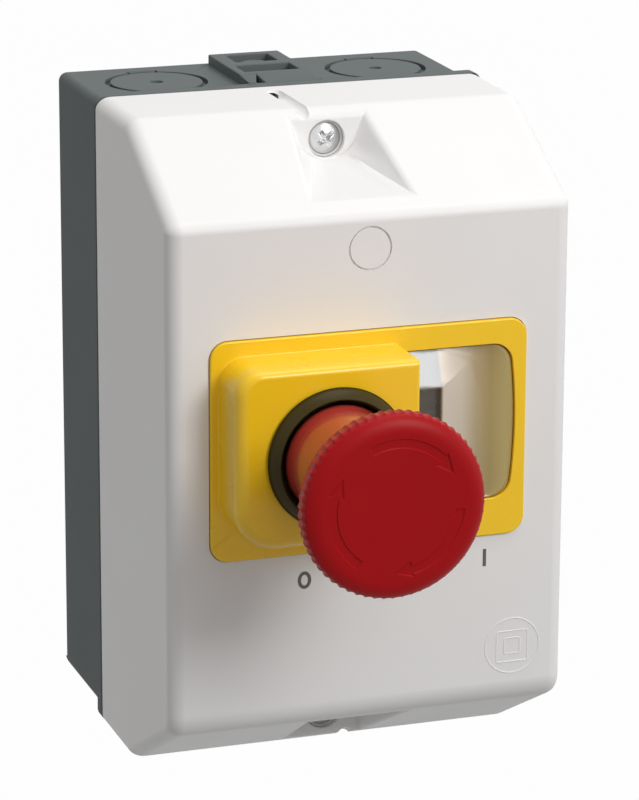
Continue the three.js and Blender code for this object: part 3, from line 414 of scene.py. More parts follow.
def makeStudio():
    scene = bpy.context.scene
    scene.view_settings.view_transform = "Standard"
    scene.world = bpy.data.worlds.new("room")
    scene.world.use_nodes = True
    tree = scene.world.node_tree
    tree.nodes.clear()
    strength = addNode(tree, "ShaderNodeMapRange",
                       {"Value": seenRays(tree), "To Min": studio["ambient"], "To Max": 1.0}).outputs[0]
    light = addNode(tree, "ShaderNodeBackground", {"Color": (1, 1, 1, 1), "Strength": strength})
    addNode(tree, "ShaderNodeOutputWorld", {0: light.outputs[0]})
    for lamp in studio["lamps"]:
        makeLamp(*lamp)

    half = studio["floorSize"] / 2 / mm
    level = cadLow.z / mm - studio["floorDrop"] / mm
    corners = [(x * half, y * half, level) for x, y in ((-1, -1), (1, -1), (1, 1), (-1, 1))]
    floor = makeObject("floor", corners, [(0, 1, 2, 3)])
    pale = bpy.data.materials.new("pale floor")
    pale.use_nodes = True
    tree = pale.node_tree
    tree.nodes.clear()
    white = addNode(tree, "ShaderNodeBsdfDiffuse", {"Color": (*[studio["floorPale"]] * 3, 1)})
    glow = addNode(tree, "ShaderNodeEmission")
    share = calculate(tree, "MULTIPLY", seenRays(tree), studio["floorGlow"])
    mix = addNode(tree, "ShaderNodeMixShader", {0: share, 1: white.outputs[0], 2: glow.outputs[0]})
    addNode(tree, "ShaderNodeOutputMaterial", {0: mix.outputs[0]})
    floor.data.materials.append(pale)


makeCamera()
makeStudio()
print("camera, lamps and floor made")


# shader group of fine moulding grain: a normal, and a slow mottle between 0 and 1
def makeGrainGroup():
    group, given = newGroup(
        "moulding grain",
        [("Grain Scale", "Float", 2500.0), ("Grain Height", "Float", 0.1), ("Mottle Scale", "Float", 60.0)],
        [("Normal", "Vector"), ("Mottle", "Float")])
    place = addNode(group, "ShaderNodeTexCoord").outputs["Object"]
    fine, slow = [
        addNode(group, "ShaderNodeTexNoise", {"Vector": place, "Scale": given[scale], "Detail": detail})
        for scale, detail in (("Grain Scale", 2.0), ("Mottle Scale", 3.0))]
    bump = addNode(group, "ShaderNodeBump", {"Distance": 0.00005, "Strength": given["Grain Height"],
                                             "Height": fine.outputs["Fac"]})
    addNode(group, "NodeGroupOutput", {"Normal": bump.outputs["Normal"], "Mottle": slow.outputs["Fac"]})
    return group


grainGroup = makeGrainGroup()


# a moulded or metal finish: two close colours mixed by the mottle, and a roughness that follows it
def makeFinish(name, colour, second, roughness, spread=0.05, metallic=0.0, grain=2500.0, height=0.1,
               mottle=60.0, coat=0.0, coatRoughness=0.1, specular=0.5):
    material = bpy.data.materials.new(name)
    material.use_nodes = True
    tree = material.node_tree
    texture = addNode(tree, "ShaderNodeGroup", node_tree=grainGroup)
    feed(tree, texture, {"Grain Scale": grain, "Grain Height": height, "Mottle Scale": mottle})
    texture = texture.outputs
    tint = addNode(tree, "ShaderNodeMix", {"Factor": texture["Mottle"], "A": (*colour, 1), "B": (*second, 1)},
                   data_type="RGBA")
    rough = addNode(tree, "ShaderNodeMapRange", {"Value": texture["Mottle"], "To Min": roughness - spread,
                                                 "To Max": roughness + spread})
    feed(tree, tree.nodes["Principled BSDF"],
         {"Base Color": tint.outputs["Result"], "Roughness": rough.outputs[0], "Normal": texture["Normal"],
          "Metallic": metallic, "Coat Weight": coat, "Coat Roughness": coatRoughness,
          "Specular IOR Level": specular})
    return material


finishes = {
    "cover": makeFinish("off-white cover", (0.80, 0.785, 0.775), (0.83, 0.815, 0.805), 0.42,
                        grain=2200, height=0.12, specular=0.25),
    "base": makeFinish("dark grey box", (0.122, 0.138, 0.137), (0.134, 0.150, 0.149), 0.46,
                       grain=2600, height=0.25, specular=0.02),
    "yellow": makeFinish("yellow plate", (0.92, 0.575, 0.012), (0.95, 0.60, 0.016), 0.27,
                         grain=2400, height=0.06, coat=0.25, coatRoughness=0.12, specular=0.25),
    "red": makeFinish("red head", (0.33, 0.002, 0.004), (0.37, 0.003, 0.005), 0.40,
                      grain=2600, height=0.14, specular=0.14),
    "black": makeFinish("glossy black", (0.012, 0.012, 0.010), (0.016, 0.016, 0.014), 0.20, 0.03,
                        height=0.03),
    # the collar's olive-brown colour is a painted reflection of the yellow plate in the black plastic
    "collar": makeFinish("black collar with painted reflection", (0.046, 0.034, 0.008), (0.054, 0.041, 0.011), 0.28, 0.03,
                         height=0.03, specular=0.1),
    "nylon": makeFinish("pale washer", (0.60, 0.60, 0.60), (0.66, 0.66, 0.65), 0.4, height=0.1),
    "rubber": makeFinish("black rubber", (0.02, 0.02, 0.02), (0.028, 0.028, 0.028), 0.75, height=0.3),
    "case": makeFinish("light grey case", (0.52, 0.53, 0.53), (0.56, 0.57, 0.57), 0.45, height=0.15),
    "zinc": makeFinish("zinc plate", (0.62, 0.63, 0.64), (0.72, 0.72, 0.71), 0.22, 0.06, 1.0, 900, 0.15, 300),
    "spring": makeFinish("spring wire", (0.50, 0.51, 0.53), (0.60, 0.60, 0.61), 0.25, 0.05, 1.0, 900, 0.1,
                         300),
    "brass": makeFinish("brass", (0.60, 0.44, 0.17), (0.68, 0.50, 0.20), 0.28, 0.06, 1.0, 900, 0.15, 300),
    "print": makeFinish("grey print", (0.085, 0.080, 0.070), (0.10, 0.095, 0.085), 0.5, height=0.05),
}
print("finishes made:", len(finishes))


# casing sizes shared by the box and the cover, the mushroom's axis and the height of the cover screws
casing = {"halfWidth": 45, "rightExtra": 1.35, "halfHeight": 73.5, "base": 35.8, "front": 91.7,
          "slopeStart": 59.8, "slopeDrop": 17.1, "wall": 2.2, "edge": 3.4, "lowEdge": 1.8, "topEdge": 3.0,
          "slopeArc": 3.2, "lowArc": 6.5}
slopeTan = casing["slopeDrop"] / (casing["front"] - casing["slopeStart"])
axisX, axisZ = -12.0, 7.55
coverScrewZ = 66.6


def casingOutline(inset, radius, steps=8):
    x, z = casing["halfWidth"] - inset, casing["halfHeight"] - inset
    return roundedOutline(-x, x + casing["rightExtra"], -z, z, radius, steps)


# rear box: body, rim, tongue, knockouts, hanging bracket, posts; a rod is a radius and its two depths
base = {"rimStep": 1.4, "rimBack": 32, "back": 2.6, "tongueInset": 2.55, "tongue": 38,
        "radius": 2, "tongueRadius": 3, "hollowRadius": 1.9,
        "knockouts": (-25.15, 27.45), "knockoutDepth": 17, "knockoutRadius": 11.7, "knockoutGroove": 1.2,
        "knockoutCut": 1.1, "tabHalf": 3.5, "tabNear": 4.4, "tabFar": 6.1, "tabLine": 0.45, "dimple": 1.5,
        "bracketX": 0.4, "bracketHalf": 8.5, "bracketLow": 70.6, "bracketTop": 74.4, "bracketBack": 1.5,
        "pocketFloor": 70.4, "above": 76, "square": (5, 3.9, 12.4), "slot": (6.5, 15.6, 23.4),
        "bossDepth": 10.4, "bossRadius": 3.3, "bossDrop": 0.7,
        "notch": ((-6.9, 34), (-4.2, 34), (-4.2, 25.8)),
        "rampHalf": 12, "ramp": ((25, 76), (25, 74.4), (34, 76), (34, 73.45)),
        "post": (3.6, 2, 34), "postBore": (2.15, 22, 35), "railX": 29, "railPost": (4, 2, 4.1),
        "railBore": (1.75, 1.8, 5), "wallHoleX": 33, "wallHoleZ": 60, "wallBore": (3.1, -1, 4),
        "wallSink": (5, 1.6, 4), "earthPad": (23.5, 34.5, -54.5, -45.5, 2, 5.6), "earthX": 29, "earthZ": -50,
        "earthBore": (2.05, 2, 7)}


def baseEdge(middle):
    side = casing["halfHeight"] - base["rimStep"]
    x, z, depth = abs(middle.x), abs(middle.z), -middle.y
    if x < 42 and z < 70.2:      # everything inside the box
        return 0
    if depth > base["rimBack"] - 0.1:
        return 0.35
    if z > side + 0.05:          # the bracket
        return 0.3
    if abs(z - side) < 0.05 and x < 40 and 1 < depth < 31:    # the knockouts' grooves
        return 0.12
    return 0.5 if depth < 0.1 else 0


def makeBracket():
    x, floor, above = base["bracketX"], base["pocketFloor"], base["above"]
    across = lambda half, low, high, near, far: block(x - half, x + half, low, high, near, far)
    pocket = lambda half, near, far: across(half, floor, above, near, far)
    bracket = across(base["bracketHalf"], base["bracketLow"], base["bracketTop"], base["bracketBack"],
                     base["rimBack"] + 0.6)
    carve(bracket, pocket(*base["square"]), pocket(*base["slot"]),
          hull([(a, -d, z) for a, d in base["notch"] for z in (floor, above)]))
    bossTop = base["bracketTop"] - base["bossDrop"]
    weld(bracket, rodZ(x, base["bossDepth"], base["bossRadius"], floor - 0.3, bossTop))
    half = base["rampHalf"]
    return carve(bracket, hull([(a, -d, z) for a in (-half, half) for d, z in base["ramp"]]))


def makeBase():
    rimStep, rimBack, deep = base["rimStep"], base["rimBack"], base["knockoutDepth"]
    side = casing["halfHeight"] - rimStep
    body = slab("rear box", casingOutline(rimStep, base["radius"]), 0, rimBack + 1)
    tongue = casingOutline(base["tongueInset"], base["tongueRadius"])
    weld(body, slab("cutter", casingOutline(0, base["radius"]), rimBack, casing["base"]),
         slab("cutter", tongue, rimBack + 0.5, base["tongue"]))
    carve(body, slab("cutter", casingOutline(rimStep + casing["wall"], base["hollowRadius"]), base["back"],
                     base["tongue"] + 1))
    weld(body, makeBracket())
    radius, half, line = base["knockoutRadius"], base["tabHalf"], base["tabLine"]
    near, far = base["tabNear"], base["tabFar"]
    for end in (-1, 1):
        low, high = sorted((end * (side - base["knockoutCut"]), end * (side + 1)))
        for x in base["knockouts"]:
            tab = block(x - half, x + half, low, high, near, far)
            carve(tab, block(x - half + line, x + half - line, low - 1, high + 1, near + line, far - line))
            carve(body, ringZ(x, deep, radius, radius - base["knockoutGroove"], low, high), tab,
                  rodZ(x, deep, base["dimple"], low + 0.5, high + 0.5, 24))
        weld(body, rodY(0, end * coverScrewZ, *base["post"]))
        carve(body, rodY(0, end * coverScrewZ, *base["postBore"], 32))
        weld(body, rodY(end * base["railX"], 0, *base["railPost"]))
        carve(body, rodY(end * base["railX"], 0, *base["railBore"], 32))
        for x in (-base["wallHoleX"], base["wallHoleX"]):
            z = end * base["wallHoleZ"]
            carve(body, *[rodY(x, z, *rod) for rod in (base["wallBore"], base["wallSink"])])
    weld(body, block(*base["earthPad"]))
    carve(body, rodY(base["earthX"], base["earthZ"], *base["earthBore"], 32))
    soften(body, baseEdge)
    smoothShade(body)
    finishPiece(body, "rearBox", "casing", "base_plastic", finishes["base"], "rear_box")


makeBase()
print("rear box made")


# cover: side profile swept across the width, rounded side edges, pockets, grooves and the plate's recess
cover = {"back": 36.35, "pocketFloor": 62.5, "pocketFront": 87.6, "pocketRise": 3.4, "ledgeDrop": 11.3,
         "lowHalf": 5, "highHalf": 8, "frontHalf": 11.6, "boreRadius": 4.2, "boreDepth": 3, "boreEdge": 0.25,
         "grooveX": -5.3, "grooveRadius": 1.9, "grooveLift": 0.9, "grooveBack": 40.4, "grooveEnd": 64.2,
         "grooveBend": 0.6,
         # lining: the wall of a dark tube in each sealing hole, painted shade for the hole's inside
         "holeX": -6.2, "holeRadius": 0.8, "holeBack": 43.1, "holeFront": 45.2, "shadeTubeWall": 0.25,
         "knockoutZ": 49.0, "knockoutRadius": 4.9, "knockoutGroove": 0.42, "knockoutCut": 0.5,
         "recess": 90.7, "recessGap": 0.2, "windowBack": 86, "backEdge": 0.3, "mouth": 2.2, "mouthSteps": 6,
         "innerEdge": 0.5, "ledgeEdge": 4.4, "hollowBack": 30, "hollowEdge": 1.3, "hollowArcs": (1.8, 4),
         "ribBack": 40.2, "ribFront": 41.8, "ribWidth": 1.5, "ribRadii": (3.5, 3),
         "postRadius": 4, "screwHole": 2.3}
plate = {"left": -36, "right": 36, "low": -17.9, "high": 31.1, "radius": 4, "back": 91.1, "face": 92.5,
         "insertBack": 86.9, "insertLap": 0.7, "insertX": 1.85, "insertZ": 2.35, "landX": 1.5, "landZ": 2,
         "landRadius": 2.5, "foot": 91.8}


def plateOutline(inX, inZ, radius=plate["landRadius"], steps=8):
    return roundedOutline(plate["left"] + inX, plate["right"] - inX, plate["low"] + inZ, plate["high"] - inZ,
                          radius, steps)


# the front moves in by inset, the ends by lowInset and topInset, and each slope by the middle of its two
def sideProfile(inset, lowInset, topInset, back, radius, lowRadius, steps=8, backArc=0):
    front = casing["front"] - inset
    halves = []
    for endInset, arc in ((lowInset, lowRadius), (topInset, radius)):
        drawn = (inset + endInset) / 2 * math.hypot(1, slopeTan)
        high = casing["halfHeight"] - endInset
        start = casing["slopeStart"] + (endInset - drawn) / slopeTan
        frontHigh = casing["halfHeight"] - casing["slopeDrop"] + slopeTan * inset - drawn
        halves.append([((back, high), backArc), ((start, high), radius), ((front, frontHigh), arc)])
    corners = [((depth, -z), arc) for (depth, z), arc in halves[0]] + list(reversed(halves[1]))
    points = []
    for i, (here, arc) in enumerate(corners):
        here = Vector(here)
        if arc == 0:
            points.append(tuple(here))
            continue
        before = (Vector(corners[i - 1][0]) - here).normalized()
        after = (Vector(corners[(i + 1) % len(corners)][0]) - here).normalized()
        half = before.angle(after) / 2
        first = here + before * arc / math.tan(half)
        last = here + after * arc / math.tan(half)
        centre = here + (before + after).normalized() * arc / math.sin(half)
        spoke = first - centre
        turn = (last - centre).angle_signed(spoke)
        for s in range(steps + 1):
            c, d = math.cos(turn * s / steps), math.sin(turn * s / steps)
            points.append(tuple(centre + Vector((spoke.x * c - spoke.y * d, spoke.x * d + spoke.y * c))))
    return points


# the profile swept across the width, drawn in along both side edges; backEdge rounds the parting line's edge
def profileLoft(name, halfWidth, edges, back, radii, shift=0.0, steps=8, backEdge=0.0):
    edge, lowEdge, topEdge = edges
    rings = []
    for i in range(steps + 1):
        angle = quarterTurn * i / steps
        inset, lowInset, topInset = [e * (1 - math.sin(angle)) + shift for e in (edge, lowEdge, topEdge)]
        x = -halfWidth + edge * (1 - math.cos(angle))
        outward = max(0.0, 1 - (x + halfWidth) / backEdge) if backEdge else 0
        near = back + backEdge * (1 - math.sqrt(1 - outward * outward))
        arc, lowArc = [max(radius - inset + shift, 0.2) for radius in radii]
        profile = sideProfile(inset, lowInset, topInset, near, arc, lowArc, steps, backEdge)
        rings.append([(x, -d, z) for d, z in profile])
    rings += [[(casing["rightExtra"] - x, y, z) for x, y, z in ring] for ring in reversed(rings)]
    return loft(name, rings)


pocketCorner = casing["halfHeight"] - cover["ledgeDrop"]
pocketRun = cover["pocketFront"] - cover["pocketFloor"]
pocketFlare = (cover["highHalf"] - cover["lowHalf"]) / (cover["ledgeDrop"] - casing["slopeArc"])
pocketSpread = cover["frontHalf"] - cover["lowHalf"]


def pocketHull(end, grow=0.0):
    floor, corner = cover["pocketFloor"] - grow, pocketCorner - grow
    rise = cover["ledgeDrop"] + grow
    reach = 1 + 1 / cover["ledgeDrop"]
    lowHalf = cover["lowHalf"] + grow
    frontHalf = lowHalf + pocketSpread * reach
    front, frontZ = floor + pocketRun * reach, corner - cover["pocketRise"] * reach
    points = []
    for hand in (-1, 1):
        points += [(hand * lowHalf, -floor, end * corner),
                   (hand * (lowHalf + pocketFlare * rise * reach), -floor, end * (corner + rise * reach)),
                   (hand * frontHalf, -front, end * frontZ),
                   (hand * (frontHalf + 1), -front, end * (frontZ + 1))]
    return hull(points)


# the pocket's four faces, each as a point and the direction into the material, for the end at the top
def pocketPlanes():
    floor, drop = cover["pocketFloor"], cover["pocketRise"]
    middle = Vector((0, -floor, pocketCorner))
    planes = [(middle, Vector((0, 1, 0))), (middle, Vector((0, drop, -pocketRun)).normalized())]
    for hand in (-1, 1):
        upward = Vector((hand * pocketFlare, 0, 1))
        forward = Vector((hand * pocketSpread, -pocketRun, -drop))
        wall = upward.cross(forward).normalized()
        foot = Vector((hand * cover["lowHalf"], -floor, pocketCorner))
        planes.append((foot, wall if wall.x * hand > 0 else -wall))
    return planes


def pocketEdge(middle):
    if abs(middle.z) > casing["halfHeight"] + 9 or -middle.y > casing["front"] + 4:
        return 0
    return cover["innerEdge"] if -middle.y < cover["pocketFloor"] + 0.1 else cover["ledgeEdge"]


# cutters for one screw pocket: the pocket with rounded inner edges, then flatter ones that round its mouth
def pocketCutters(end):
    slope = Vector((0, -slopeTan, 1)).normalized()
    onSlope = Vector((0, -casing["slopeStart"], casing["halfHeight"]))
    planes = pocketPlanes()
    lids = [(Vector((0, 0, casing["halfHeight"] + 12)), up),
            (Vector((0, -casing["front"] - 6, 0)), Vector((0, -1, 0)))]
    mirrored = lambda faces: [((p.x, p.y, end * p.z), (n.x, n.y, end * n.z)) for p, n in faces]
    cutters = [soften(halfSpaces(mirrored(planes + lids)), pocketEdge, 15, 5)]
    radius = cover["mouth"]
    for i in range(1, cover["mouthSteps"]):
        tilted = []
        for point, wall in planes:
            # the rounding's centre lies one radius behind the wall and one under the slope
            lean = wall.dot(slope)
            height = (onSlope - point).dot(slope) - radius
            centre = point + wall * ((radius - lean * height) / (1 - lean * lean))
            centre += slope * ((height - lean * radius) / (1 - lean * lean))
            whole = math.acos(-lean)
            share = whole * i / cover["mouthSteps"]
            facing = (slope * math.sin(share) - wall * math.sin(whole - share)).normalized()
            tilted.append((centre + facing * radius, -facing))
        cutters.append(halfSpaces(mirrored(tilted + lids)))
    return cutters


def makeCover():
    wall, front, floor = casing["wall"], casing["front"], cover["pocketFloor"]
    shell = profileLoft("cover", casing["halfWidth"], (casing["edge"], casing["lowEdge"], casing["topEdge"]),
                        cover["back"], (casing["slopeArc"], casing["lowArc"]), backEdge=cover["backEdge"])
    hollow = profileLoft("cutter", casing["halfWidth"] - wall, [cover["hollowEdge"]] * 3, cover["hollowBack"],
                         cover["hollowArcs"], wall)
    outerArc, innerArc = cover["ribRadii"]
    rib = slab("cutter", casingOutline(wall / 2, outerArc), cover["ribBack"], cover["ribFront"])
    carve(rib, slab("cutter", casingOutline(wall + cover["ribWidth"], innerArc), cover["ribBack"] - 1.2,
                    cover["ribFront"] + 1.2))
    carve(hollow, rib)
    for end in (-1, 1):
        post = rodY(0, end * coverScrewZ, cover["postRadius"], cover["ribFront"], floor)
        carve(hollow, pocketHull(end, wall), post)
    carve(shell, hollow)
    bore, edge = cover["boreRadius"], cover["boreEdge"]
    boreProfile = [(bore, floor - cover["boreDepth"]), (bore, floor - edge), (bore + 0.07, floor - 0.08),
                   (bore + edge, floor), (bore + edge, floor + 1)]
    reach, height = cover["grooveRadius"], casing["halfHeight"] + cover["grooveLift"]
    hole = [cover[size] for size in ("holeBack", "holeFront", "holeRadius")]
    bend = casing["slopeStart"] + cover["grooveBend"]
    drop = (cover["grooveEnd"] - bend) * slopeTan
    for end in (-1, 1):
        low, high = sorted((end * (casing["halfHeight"] - wall - 1), end * (casing["halfHeight"] + 1)))
        grooveX = end * cover["grooveX"]
        atBend = (grooveX, bend, end * height)
        carve(shell, *pocketCutters(end))
        carve(shell, turned("cutter", 0, end * coverScrewZ, boreProfile),
              rodY(0, end * coverScrewZ, cover["screwHole"], cover["ribBack"], floor, 32),
              capsule((grooveX, cover["grooveBack"] + reach, end * height), atBend, reach),
              capsule(atBend, (grooveX, cover["grooveEnd"], end * (height - drop)), reach),
              slotZ(end * cover["holeX"], *hole, low, high))
    ring, cut = cover["knockoutRadius"], front - cover["knockoutCut"]
    inner = ring - cover["knockoutGroove"]
    profile = [(ring - 0.07, cut), (ring, front), (ring, front + 1), (inner, front + 1), (inner, front),
               (inner + 0.07, cut)]
    carve(shell, turned("cutter", 0, cover["knockoutZ"], profile, closed=True))
    gap = cover["recessGap"]
    recess = plateOutline(-gap, -gap, plate["radius"] + gap)
    window = plateOutline(plate["landX"], plate["landZ"])
    carve(shell, slab("cutter", recess, cover["recess"], front + 1),
          slab("cutter", window, cover["windowBack"], front + 1))
    smoothShade(shell, 30)
    finishPiece(shell, "cover", "casing", "cover_plastic", finishes["cover"], "cover_shell")


# dark tubes in the two sealing holes: painted shade that stands in for the shade deep inside the holes, not a
# real part of the cover
def makeHoleShadeTubes():
    back, front, radius = cover["holeBack"], cover["holeFront"], cover["holeRadius"]
    shadeTubes = []
    for end in (-1, 1):
        low, high = sorted(end * (casing["halfHeight"] - inset) for inset in (casing["wall"], 0.2))
        x = end * cover["holeX"]
        tube = slotZ(x, back, front, radius + 0.02, low, high)
        shadeTubes.append(carve(tube, slotZ(x, back, front, radius - cover["shadeTubeWall"], low - 1, high + 1)))
    both = smoothShade(mergeInto(*shadeTubes))
    finishPiece(both, "holeLinings", "casing", "seal_rubber", finishes["rubber"])


# a faint moulded crest on the front: a ring and two plain frames of thin ribs, one in the other
crest = {"x": 34.1, "z": -44.45, "radius": 6.5, "rib": 0.34, "height": 0.09, "sunk": 0.05, "lean": 0.15,
         "frames": ((3.75, 3.85, 3.5), (1.95, 1.95, 1.85)), "corner": 0.5}


def makeCrest():
    x, z, rib, lean = crest["x"], crest["z"], crest["rib"], crest["lean"]
    bottom, top = casing["front"] - crest["sunk"], casing["front"] + crest["height"]
    outlines = [lambda grow: circle(x, z, crest["radius"] + grow, 96)]
    for halfX, low, high in crest["frames"]:
        outlines.append(lambda grow, a=halfX, b=low, c=high: roundedOutline(
            x - a - grow, x + a + grow, z - b - grow, z + c + grow, crest["corner"] + grow, 4))
    ribs = [loft("rib", [[(a, -depth, b) for a, b in outline(grow)]
                         for grow, depth in ((lean, bottom), (0, top), (-rib + lean, top), (-rib, bottom))],
                 closed=True) for outline in outlines]
    crested = smoothShade(mergeInto(*ribs), 20)
    finishPiece(crested, "frontCrest", "casing", "cover_plastic", finishes["cover"])


makeCover()
makeHoleShadeTubes()
makeCrest()
print("cover made")


# operator plate: flange, raised box with a rounded front and a hollow foot fillet, window with a bowed edge
box = {"left": -34.2, "right": 6.6, "low": -12.1, "high": 27.6, "front": 105.5, "wall": 2,
       "radii": (9, 1, 1, 5.5), "hollowRadii": (6, 1, 1, 6), "foot": 0.3, "bore": 13.7, "boreBack": 101,
       "nutRoom": 15.4, "nutBack": 100, "edges": {"left": 2.8, "right": 0.8, "low": 3, "high": 1.7}}
pane = {"left": 6.6, "right": 32.2, "low": -9.4, "high": 25.7, "bow": 1.3, "corner": 4, "leftCorner": 0.6}
cornerSides = ((0, 1), (1, 2), (2, 3), (3, 0))


def paneOutline(inset, steps=10, edgeSteps=24):
    left, right = pane["left"] + inset, pane["right"] - inset
    low, high = pane["low"] + inset, pane["high"] - inset
    corner = pane["corner"] - inset / 2
    radii = (pane["leftCorner"], corner, corner, pane["leftCorner"])
    plain = roundedOutline(left, right, low, high, radii, steps)
    cut = 2 * steps + 2
    edge = [(right, low + corner + (high - low - 2 * corner) * i / edgeSteps) for i in range(1, edgeSteps)]
    middle, half = (low + high) / 2, (high - low) / 2
    points = []
    for x, z in plain[:cut] + edge + plain[cut:]:
        share = (z - middle) / half
        towards = max(0, (x - left) / (right - left))
        points.append((x + pane["bow"] * towards * (1 - share * share), z))
    return points


# a block whose sides move in by their own amounts while its front edge turns over
def softRings(size, near, steps=10, arcs=8):
    amounts = [size["edges"][side] for side in ("left", "low", "right", "high")]
    radii, foot = size["radii"], size["foot"]

    def ring(drawIn, depths, radii):
        inL, inLow, inR, inHigh = drawIn
        outline = roundedOutline(size["left"] + inL, size["right"] - inR, size["low"] + inLow,
                                 size["high"] - inHigh, radii, arcs)
        points = []
        for i, (x, z) in enumerate(outline):
            a, b = cornerSides[i // (arcs + 1)]
            share = math.sin(quarterTurn * (i % (arcs + 1)) / arcs) ** 2
            points.append((x, -(depths[a] * (1 - share) + depths[b] * share), z))
        return points

    spread = lambda out, depth: ring([-out, -out, 0, -out], [depth] * 4, [r + out for r in radii])
    angles = [quarterTurn * i / steps for i in range(steps + 1)]
    rings = [spread(foot, near)]
    for angle in angles:
        rings.append(spread(foot * (1 - math.sin(angle)), plate["face"] + foot * (1 - math.cos(angle))))
    for angle in angles:
        inset = [a * (1 - math.cos(angle)) for a in amounts]
        depths = [size["front"] - a * (1 - math.sin(angle)) for a in amounts]
        corners = [max(0.12, r - (inset[a] + inset[b]) / 2) for r, (a, b) in zip(radii, cornerSides)]
        rings.append(ring(inset, depths, corners))
    return rings


def plateEdge(middle):
    if -middle.y < plate["back"] + 0.1 or abs(-middle.y - plate["face"]) >= 0.05:
        return 0
    rim = min(middle.x - plate["left"], plate["right"] - middle.x,
              middle.z - plate["low"], plate["high"] - middle.z)
    return 0.35 if rim < 1.3 else 0.2


def makePlate():
    wall, behind = box["wall"], plate["insertBack"] - 1
    body = slab("plate", plateOutline(0, 0, plate["radius"], 10), plate["back"], plate["face"])
    insert = slab("cutter", plateOutline(plate["insertX"], plate["insertZ"]), plate["insertBack"],
                  plate["back"] + plate["insertLap"])
    weld(body, insert, loft("cutter", softRings(box, plate["foot"])))
    inside = roundedOutline(box["left"] + wall + 1, box["right"] - wall, box["low"] + wall + 1,
                            box["high"] - wall, box["hollowRadii"])
    carve(body, slab("cutter", inside, behind, box["front"] - wall - 1),
          rodY(axisX, axisZ, box["nutRoom"], box["nutBack"], box["front"] - wall),
          slab("cutter", paneOutline(0), behind, plate["face"] + 1),
          rodY(axisX, axisZ, box["bore"], box["boreBack"], box["front"] + 1, 96))
    soften(body, plateEdge, 35)
    smoothShade(body, 32)
    finishPiece(body, "operatorPlate", "casing", "yellow_plastic", finishes["yellow"], "operator_plate")


makePlate()
print("operator plate made")


# start membrane: a soft sheet that rises from the window's edge, through a hollow margin, to a flat patch
membrane = {"gap": 0.14, "wall": 0.9, "flange": (4.5, 34.0, -15.4, 28.5), "flangeBack": 85.7,
            "flangeFront": 86.7, "flangeRadius": 1.1, "skirt": 5.5, "edgeDepth": 92.2, "top": 95.4,
            "dip": 0.55, "dipRun": 7, "lip": 0.5, "lipRun": 0.6,
            "patch": (15.6, -1.8, 18.0), "corner": (23.0, 22.2),
            # the colour ramp across the sheet's width: the sheet's tone with painted shade, darker brown
            # towards the right, and a painted highlight near the right edge
            "cornerEnd": 13.8, "side": 26.4, "upper": 25.2, "paintedFrom": 15, "paintedTo": 33,
            "toneShadeAndHighlight": ((0.0, (0.60, 0.53, 0.45)), (0.3, (0.54, 0.47, 0.37)), (0.52, (0.39, 0.30, 0.165)),
                      (0.72, (0.335, 0.245, 0.082)), (0.92, (0.44, 0.35, 0.13)))}


# a path as evenly spaced points, without its last one
def splitSide(points, count):
    lengths = [0.0]
    for a, b in zip(points, points[1:]):
        lengths.append(lengths[-1] + math.dist(a, b))
    result, i = [], 0
    for s in range(count):
        want = lengths[-1] * s / count
        while lengths[i + 1] < want:
            i += 1
        share = (want - lengths[i]) / (lengths[i + 1] - lengths[i])
        result.append(between(points[i], points[i + 1], share))
    return result


def between(p, q, share):
    return (p[0] + (q[0] - p[0]) * share, p[1] + (q[1] - p[1]) * share)


# an outline as four sides with the same number of points on each, from the lower left anticlockwise
def fourSides(*sides, count=40):
    return [point for side in sides for point in splitSide(side, count)]


